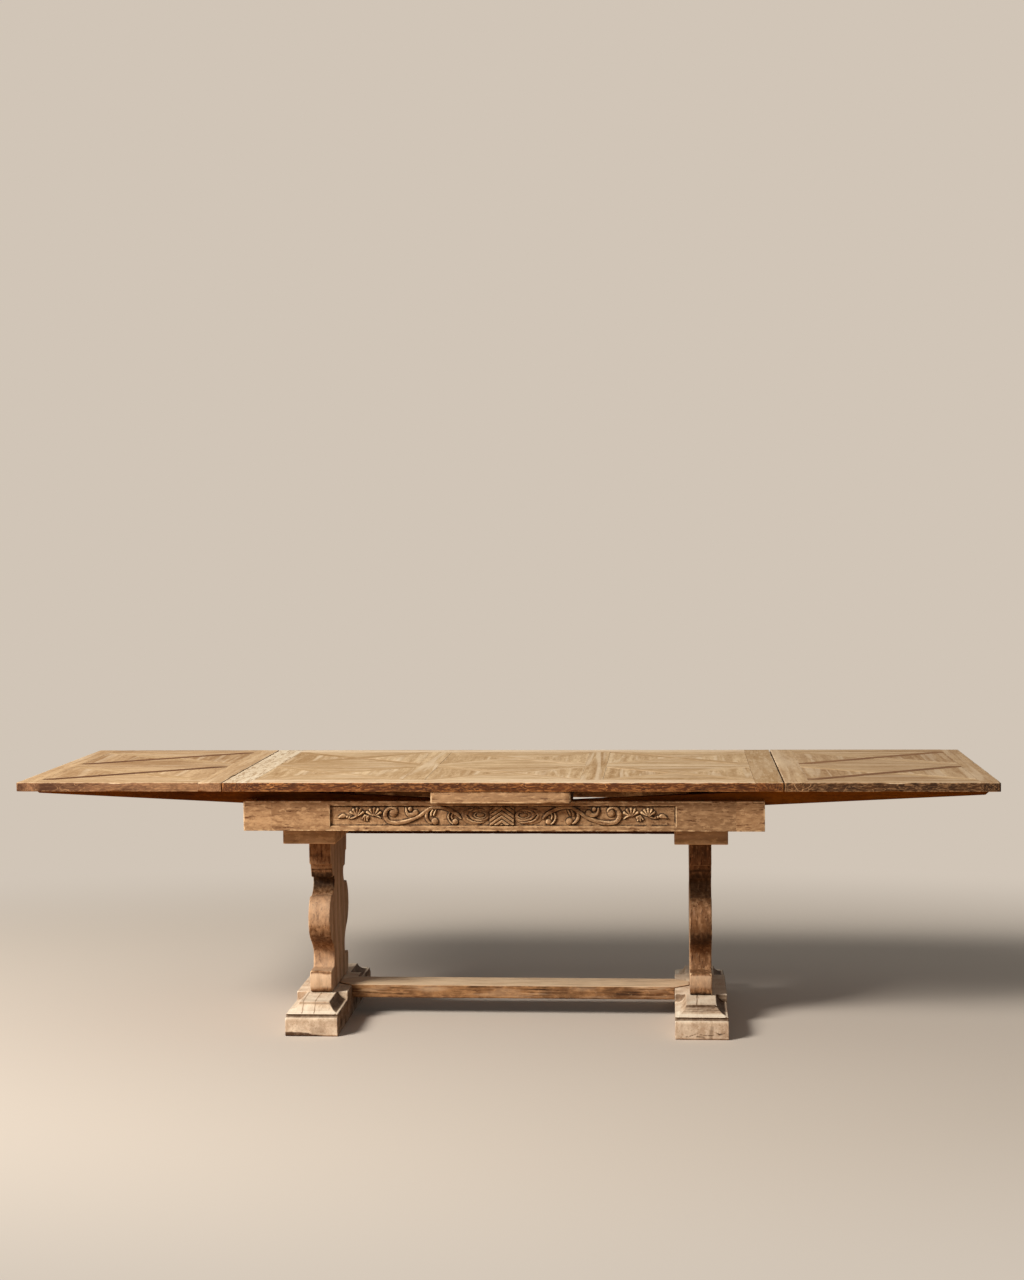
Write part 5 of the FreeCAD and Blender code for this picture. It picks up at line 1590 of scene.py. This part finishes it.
def right_foot_patina(points, normals, seed):
    """The right foot has a dull slope, a crack in its deck, split wood along the floor and a stain."""
    tone = foot_mouldings(points, normals, seed, painted_side_shade=0.1)
    x, y, z = points.T
    slope = smooth(-normals[:, 1], 0.15, 0.5) * smooth(z, LIP_HIGH, LIP_HIGH + 2 * MM)
    tone = tone - slope * (0.75 + ripple(points * (0.2, 1, 1), 0.008, seed + 11) * 0.25)
    deck = line_mark(x, y, RIGHT_FOOT_CRACK, CRACK_HALF) * smooth(z, DECK_EDGE, DECK)
    front = y < -0.33
    shaky = z + ripple(points, 0.009, seed + 9) * 1.6 * MM
    broken = smooth(ripple(points, 0.02, seed + 10), -0.7, 0.1) * front
    splits = [line_mark(x, shaky, crack, 1.5 * MM) * broken for crack in RIGHT_BASE_CRACKS]
    stain = line_mark(x, z, RIGHT_BASE_STAIN, 8 * MM) * front * 0.7
    tone = toward(tone, STAIN, stain)
    return toward(tone, BLACK, np.maximum.reduce([deck, *splits]))


def make_trestles():
    """Legs, bolsters and the rails between them."""
    sizes = bpy.context.scene.board_sizes
    legs = (("left_leg", 501, leg_patina(LEFT_LEG_TONES, 1)),
            ("right_leg", 508, leg_patina(RIGHT_LEG_TONES, -1)))
    for node, seed, patina in legs:
        hewn_node(node, seed, UPRIGHT, "Leg oak", "frame_oak", 0.35 * MM, sizes.leg_grid, patina)
    for node, seed in (("left_bolster", 521), ("right_bolster", 528)):
        hewn_node(node, seed, ALONG, "Bolster oak", "frame_oak", 0.3 * MM, sizes.leg_grid,
                  bolster_patina)
    # Its very dark finish is partly painted shade
    board_node("upper_rail", 541, ALONG, "Dark rail", "frame_oak")
    hewn_node("stretcher", 551, ALONG, "Stretcher oak", "frame_oak", 0.4 * MM, sizes.foot_grid,
              stretcher_patina)


def make_feet():
    """The two sledge feet."""
    grid = bpy.context.scene.board_sizes.foot_grid
    feet = (("left_foot", 601, left_foot_patina), ("right_foot", 608, right_foot_patina))
    for node, seed, patina in feet:
        hewn_node(node, seed, ACROSS, "Bleached oak", "bleached_oak", 0.25 * MM, grid, patina)


def make_bearers():
    """The sloping bearers of both leaves and their stops."""
    for number, side in enumerate(("left", "right")):
        for row, end in enumerate(("front", "back")):
            bevelled_node(f"{side}_leaf_{end}_loper", 701 + number * 17 + row, ALONG, "Bearer oak",
                          "bearer_oak", 1.0 * MM)
        bevelled_node(f"{side}_leaf_loper_stops", 741 + number, ALONG, "Bearer oak", "bearer_oak",
                      0.6 * MM)


def make_fastening_tree(name):
    """Geometry nodes that put a slotted head and its shank at every point."""
    numbers = ("Head radius", "Head height", "Shank radius", "Shank length", "Slot width")
    tree, shop, given, out = geometry_tree(name, numbers, ("Sides",))
    head = shop.add("GeometryNodeMeshCone", {
        "Vertices": given["Sides"], "Radius Top": shop.times(given["Head radius"], 0.9),
        "Radius Bottom": given["Head radius"], "Depth": given["Head height"]}, fill_type="NGON")
    shank = shop.add("GeometryNodeMeshCylinder", {
        "Vertices": given["Sides"], "Radius": given["Shank radius"], "Depth": given["Shank length"]},
        fill_type="NGON")
    middle = shop.times(given["Shank length"], -0.5)
    low = shop.add("ShaderNodeCombineXYZ", {"Z": middle}).outputs[0]
    shank_down = shop.add("GeometryNodeTransform", {
        "Geometry": shank.outputs["Mesh"], "Translation": low})
    slot = shop.add("GeometryNodeMeshCube", {"Size": shop.add("ShaderNodeCombineXYZ", {
        "X": shop.times(given["Head radius"], 3.0), "Y": given["Slot width"],
        "Z": given["Head height"]}).outputs[0]})
    slot_up = shop.add("GeometryNodeTransform", {
        "Geometry": slot.outputs["Mesh"],
        "Translation": shop.add("ShaderNodeCombineXYZ", {
            "Z": shop.times(given["Head height"], 1.15)}).outputs[0]})
    cut = shop.add("GeometryNodeMeshBoolean", operation="DIFFERENCE")
    shop.feed(cut.inputs[0], head.outputs["Mesh"])
    shop.feed(cut.inputs[1], slot_up.outputs[0])
    both = shop.add("GeometryNodeJoinGeometry")
    tree.links.new(shank_down.outputs[0], both.inputs[0])
    tree.links.new(cut.outputs[0], both.inputs[0])
    turn = shop.add("FunctionNodeRandomValue", {"Seed": 3}, data_type="FLOAT_VECTOR")
    turn.inputs[1].default_value = (0, 0, math.pi)
    flip = shop.add("GeometryNodeInputNamedAttribute", {"Name": "flip"}, data_type="FLOAT_VECTOR")
    angles = shop.add("ShaderNodeVectorMath", operation="ADD")
    shop.feed(angles.inputs[0], turn.outputs[0])
    shop.feed(angles.inputs[1], flip.outputs[0])
    many = shop.add("GeometryNodeInstanceOnPoints", {
        "Points": given["Geometry"], "Instance": both.outputs[0], "Rotation": angles.outputs[0]})
    end_tree(shop, given, out, many.outputs[0])
    return tree


def make_fastenings_of(node, downward, head_radius, head_height, shank_radius):
    """All screws or bolts of one node, sunk where the construction has them."""
    way = -1 if downward else 1
    heads = []
    for low, high in solid_boxes(node):
        middle = (low + high) / 2
        outer_end = low[2] if downward else high[2]
        heads.append((middle[0], middle[1], outer_end - way * head_height / 2))
    tall = min(high[2] - low[2] for low, high in solid_boxes(node))
    piece = new_object(f"{node}_turned", heads, [])
    store(piece, "flip", [(math.pi if downward else 0, 0, 0)] * len(heads), "FLOAT_VECTOR")
    run_tree(piece, "Sunk fastenings", make_fastening_tree, {
        "Head radius": head_radius, "Head height": head_height, "Shank radius": shank_radius,
        "Shank length": tall - head_height, "Slot width": head_radius * 0.28, "Sides": 24,
        "Material": bpy.data.materials["Old steel"]})
    dress(piece, body_of(node), "Old steel", "steel", node, soft=False)


# Radius and height of the head, and radius of the shank
BOLT = (11 * MM, 8 * MM, 5 * MM)
SCREW = (5 * MM, 3.5 * MM, 2.5 * MM)
# Each set of fastenings, whether its heads look down, and its kind
FASTENINGS = (
    ("foot_bolts", True, BOLT),
    ("bolster_bolts", True, BOLT),
    ("left_leaf_loper_screws", True, SCREW),
    ("right_leaf_loper_screws", True, SCREW),
    ("centre_board_screws", False, SCREW),
)


def make_fastenings():
    """Screws, bolts and the pegs under the top."""
    for node, downward, kind in FASTENINGS:
        make_fastenings_of(node, downward, *kind)
    bevelled_node("top_pegs", 801, UPRIGHT, "Bearer oak", "top_oak", 0.5 * MM)


# Stage

# The floor's reach in metres, the width of the camera's sensor in millimetres, and the sky's tint
FLOOR_REACH = 14
SENSOR_WIDTH = 36
SKY_TINT = (1.0, 0.965, 0.92)
# Soft lamps: their place, what they point at, their width and height in metres, and their tint
LAMPS = {
    "key": ((-5.9, -4.95, 5.2), (0, 0, 0.4), (2.9, 2.4), (1.0, 0.955, 0.90)),
    "fill": ((4.5, -3.8, 2.6), (0.3, 0, 0.5), (3.0, 2.4), (1.0, 0.97, 0.93)),
}


def make_floor():
    """A wide pale floor."""
    corners = [(-1, -1), (1, -1), (1, 1), (-1, 1)]
    floor = new_object("floor", [(x * FLOOR_REACH, y * FLOOR_REACH, 0) for x, y in corners],
                       [(0, 1, 2, 3)])
    floor.data.materials.append(bpy.data.materials["Pale floor"])


def make_camera():
    """The camera at the photograph's place and angle."""
    stage = bpy.context.scene.stage_settings
    turn, tilt, roll = stage.turn, -stage.tilt, stage.roll
    forward = Vector((-math.sin(turn), math.cos(turn), 0))
    right = Vector((math.cos(turn), math.sin(turn), 0))
    up = Vector((0, 0, 1))
    sight = forward * math.cos(tilt) + up * math.sin(tilt)
    over = up * math.cos(tilt) - forward * math.sin(tilt)
    side = right * math.cos(roll) + over * math.sin(roll)
    over = over * math.cos(roll) - right * math.sin(roll)
    data = bpy.data.cameras.new("camera")
    data.lens = stage.lens
    data.sensor_width = SENSOR_WIDTH
    camera = bpy.data.objects.new("camera", data)
    camera.matrix_world = Matrix((
        (side.x, over.x, -sight.x, stage.place[0]),
        (side.y, over.y, -sight.y, stage.place[1]),
        (side.z, over.z, -sight.z, stage.place[2]),
        (0, 0, 0, 1)))
    bpy.context.scene.collection.objects.link(camera)
    bpy.context.scene.camera = camera


def make_lamp(name, power, place, target, size, tint):
    data = bpy.data.lights.new(name, "AREA")
    data.shape = "RECTANGLE"
    data.size, data.size_y = size
    data.energy = power
    data.color = tint
    lamp = bpy.data.objects.new(name, data)
    lamp.location = place
    lamp.rotation_euler = (Vector(target) - Vector(place)).to_track_quat("-Z", "Y").to_euler()
    bpy.context.scene.collection.objects.link(lamp)


def make_world():
    """Even light all round, and the floor's colour behind it where it is seen."""
    stage = bpy.context.scene.stage_settings
    world = bpy.data.worlds.new("Studio")
    world.use_nodes = True
    bpy.context.scene.world = world
    shop = Shop(world.node_tree)
    lit = world.node_tree.nodes["Background"]
    lit.inputs["Color"].default_value = whole(SKY_TINT)
    lit.inputs["Strength"].default_value = stage.sky
    seen = shop.add("ShaderNodeBackground", {"Color": whole(stage.backdrop), "Strength": 1.0})
    path = shop.add("ShaderNodeLightPath").outputs["Is Camera Ray"]
    mix = shop.add("ShaderNodeMixShader")
    shop.feed(mix.inputs[0], path)
    shop.feed(mix.inputs[1], lit.outputs[0])
    shop.feed(mix.inputs[2], seen.outputs[0])
    shop.feed(world.node_tree.nodes["World Output"].inputs["Surface"], mix.outputs[0])


def make_stage():
    """The floor, the camera and the light."""
    make_floor()
    make_camera()
    make_world()
    for name, lamp in LAMPS.items():
        make_lamp(name, getattr(bpy.context.scene.stage_settings, name), *lamp)
    bpy.context.scene.view_settings.view_transform = "Standard"


# Operators, panel and registration

class OAK_OT_finishes(bpy.types.Operator):
    """Makes the materials of the wood, the metal and the floor"""
    bl_idname = "oak.finishes"
    bl_label = "Wood and metal finishes"

    def execute(self, context):
        make_materials()
        return {"FINISHED"}


class OAK_OT_top_boards(bpy.types.Operator):
    """Makes the borders, ends, bands and rails of the fixed top"""
    bl_idname = "oak.top_boards"
    bl_label = "Boards of the top"

    def execute(self, context):
        make_top_boards()
        return {"FINISHED"}


class OAK_OT_leaf_boards(bpy.types.Operator):
    """Makes the borders, ends and rails of both leaves"""
    bl_idname = "oak.leaf_boards"
    bl_label = "Boards of the leaves"

    def execute(self, context):
        make_leaf_boards()
        return {"FINISHED"}


class OAK_OT_parquetry(bpy.types.Operator):
    """Makes the laths and panels that are laid between the boards"""
    bl_idname = "oak.parquetry"
    bl_label = "Parquetry"

    def execute(self, context):
        make_parquetry()
        return {"FINISHED"}


class OAK_OT_grounds(bpy.types.Operator):
    """Makes the ground boards under the parquetry"""
    bl_idname = "oak.grounds"
    bl_label = "Ground boards"

    def execute(self, context):
        make_grounds()
        return {"FINISHED"}


class OAK_OT_aprons(bpy.types.Operator):
    """Makes the carved aprons at the front and the back"""
    bl_idname = "oak.aprons"
    bl_label = "Carved aprons"

    def execute(self, context):
        make_apron("front_apron", -1, 201)
        make_apron("back_apron", 1, 251)
        return {"FINISHED"}


class OAK_OT_frame(bpy.types.Operator):
    """Makes the posts, end rails, cross rails, blocks, cleats and centre board"""
    bl_idname = "oak.frame"
    bl_label = "Frame"

    def execute(self, context):
        make_frame()
        return {"FINISHED"}


class OAK_OT_trestles(bpy.types.Operator):
    """Makes the legs, the bolsters and the rails between them"""
    bl_idname = "oak.trestles"
    bl_label = "Legs, bolsters and stretcher"

    def execute(self, context):
        make_trestles()
        return {"FINISHED"}


class OAK_OT_feet(bpy.types.Operator):
    """Makes the two moulded sledge feet"""
    bl_idname = "oak.feet"
    bl_label = "Sledge feet"

    def execute(self, context):
        make_feet()
        return {"FINISHED"}


class OAK_OT_bearers(bpy.types.Operator):
    """Makes the sloping bearers of the leaves and their stops"""
    bl_idname = "oak.bearers"
    bl_label = "Sloping bearers"

    def execute(self, context):
        make_bearers()
        return {"FINISHED"}


class OAK_OT_fastenings(bpy.types.Operator):
    """Makes the screws, the bolts and the pegs"""
    bl_idname = "oak.fastenings"
    bl_label = "Screws, bolts and pegs"

    def execute(self, context):
        make_fastenings()
        return {"FINISHED"}


class OAK_OT_stage(bpy.types.Operator):
    """Makes the floor, the lamps and the camera"""
    bl_idname = "oak.stage"
    bl_label = "Stage"

    def execute(self, context):
        make_stage()
        return {"FINISHED"}


STEPS = (OAK_OT_finishes, OAK_OT_top_boards, OAK_OT_leaf_boards, OAK_OT_parquetry, OAK_OT_grounds,
         OAK_OT_aprons, OAK_OT_frame, OAK_OT_trestles, OAK_OT_feet, OAK_OT_bearers, OAK_OT_fastenings,
         OAK_OT_stage)
SETTINGS = {"oak_colours": OakColours, "board_sizes": BoardSizes, "carving_sizes": CarvingSizes,
            "stage_settings": StageSettings}


class OAK_PT_table(bpy.types.Panel):
    """Lists the settings and the steps of the table's making"""
    bl_idname = "OAK_PT_table"
    bl_label = "Draw-leaf oak table"
    bl_space_type = "VIEW_3D"
    bl_region_type = "UI"
    bl_category = "Oak table"

    def draw(self, context):
        for label, group in SETTINGS.items():
            box = self.layout.box()
            settings = getattr(context.scene, label)
            for name in group.__annotations__:
                box.prop(settings, name)
        for step in STEPS:
            self.layout.operator(step.bl_idname)


def register():
    for group in SETTINGS.values():
        bpy.utils.register_class(group)
    for label, group in SETTINGS.items():
        setattr(bpy.types.Scene, label, PointerProperty(type=group))
    for step in STEPS:
        bpy.utils.register_class(step)
    bpy.utils.register_class(OAK_PT_table)


def unregister():
    bpy.utils.unregister_class(OAK_PT_table)
    for step in reversed(STEPS):
        bpy.utils.unregister_class(step)
    for label, group in SETTINGS.items():
        delattr(bpy.types.Scene, label)
        bpy.utils.unregister_class(group)


def main():
    register()
    for step in STEPS:
        family, action = step.bl_idname.split(".")
        getattr(getattr(bpy.ops, family), action)()
    bpy.context.view_layer.update()


if __name__ == "__main__":
    main()
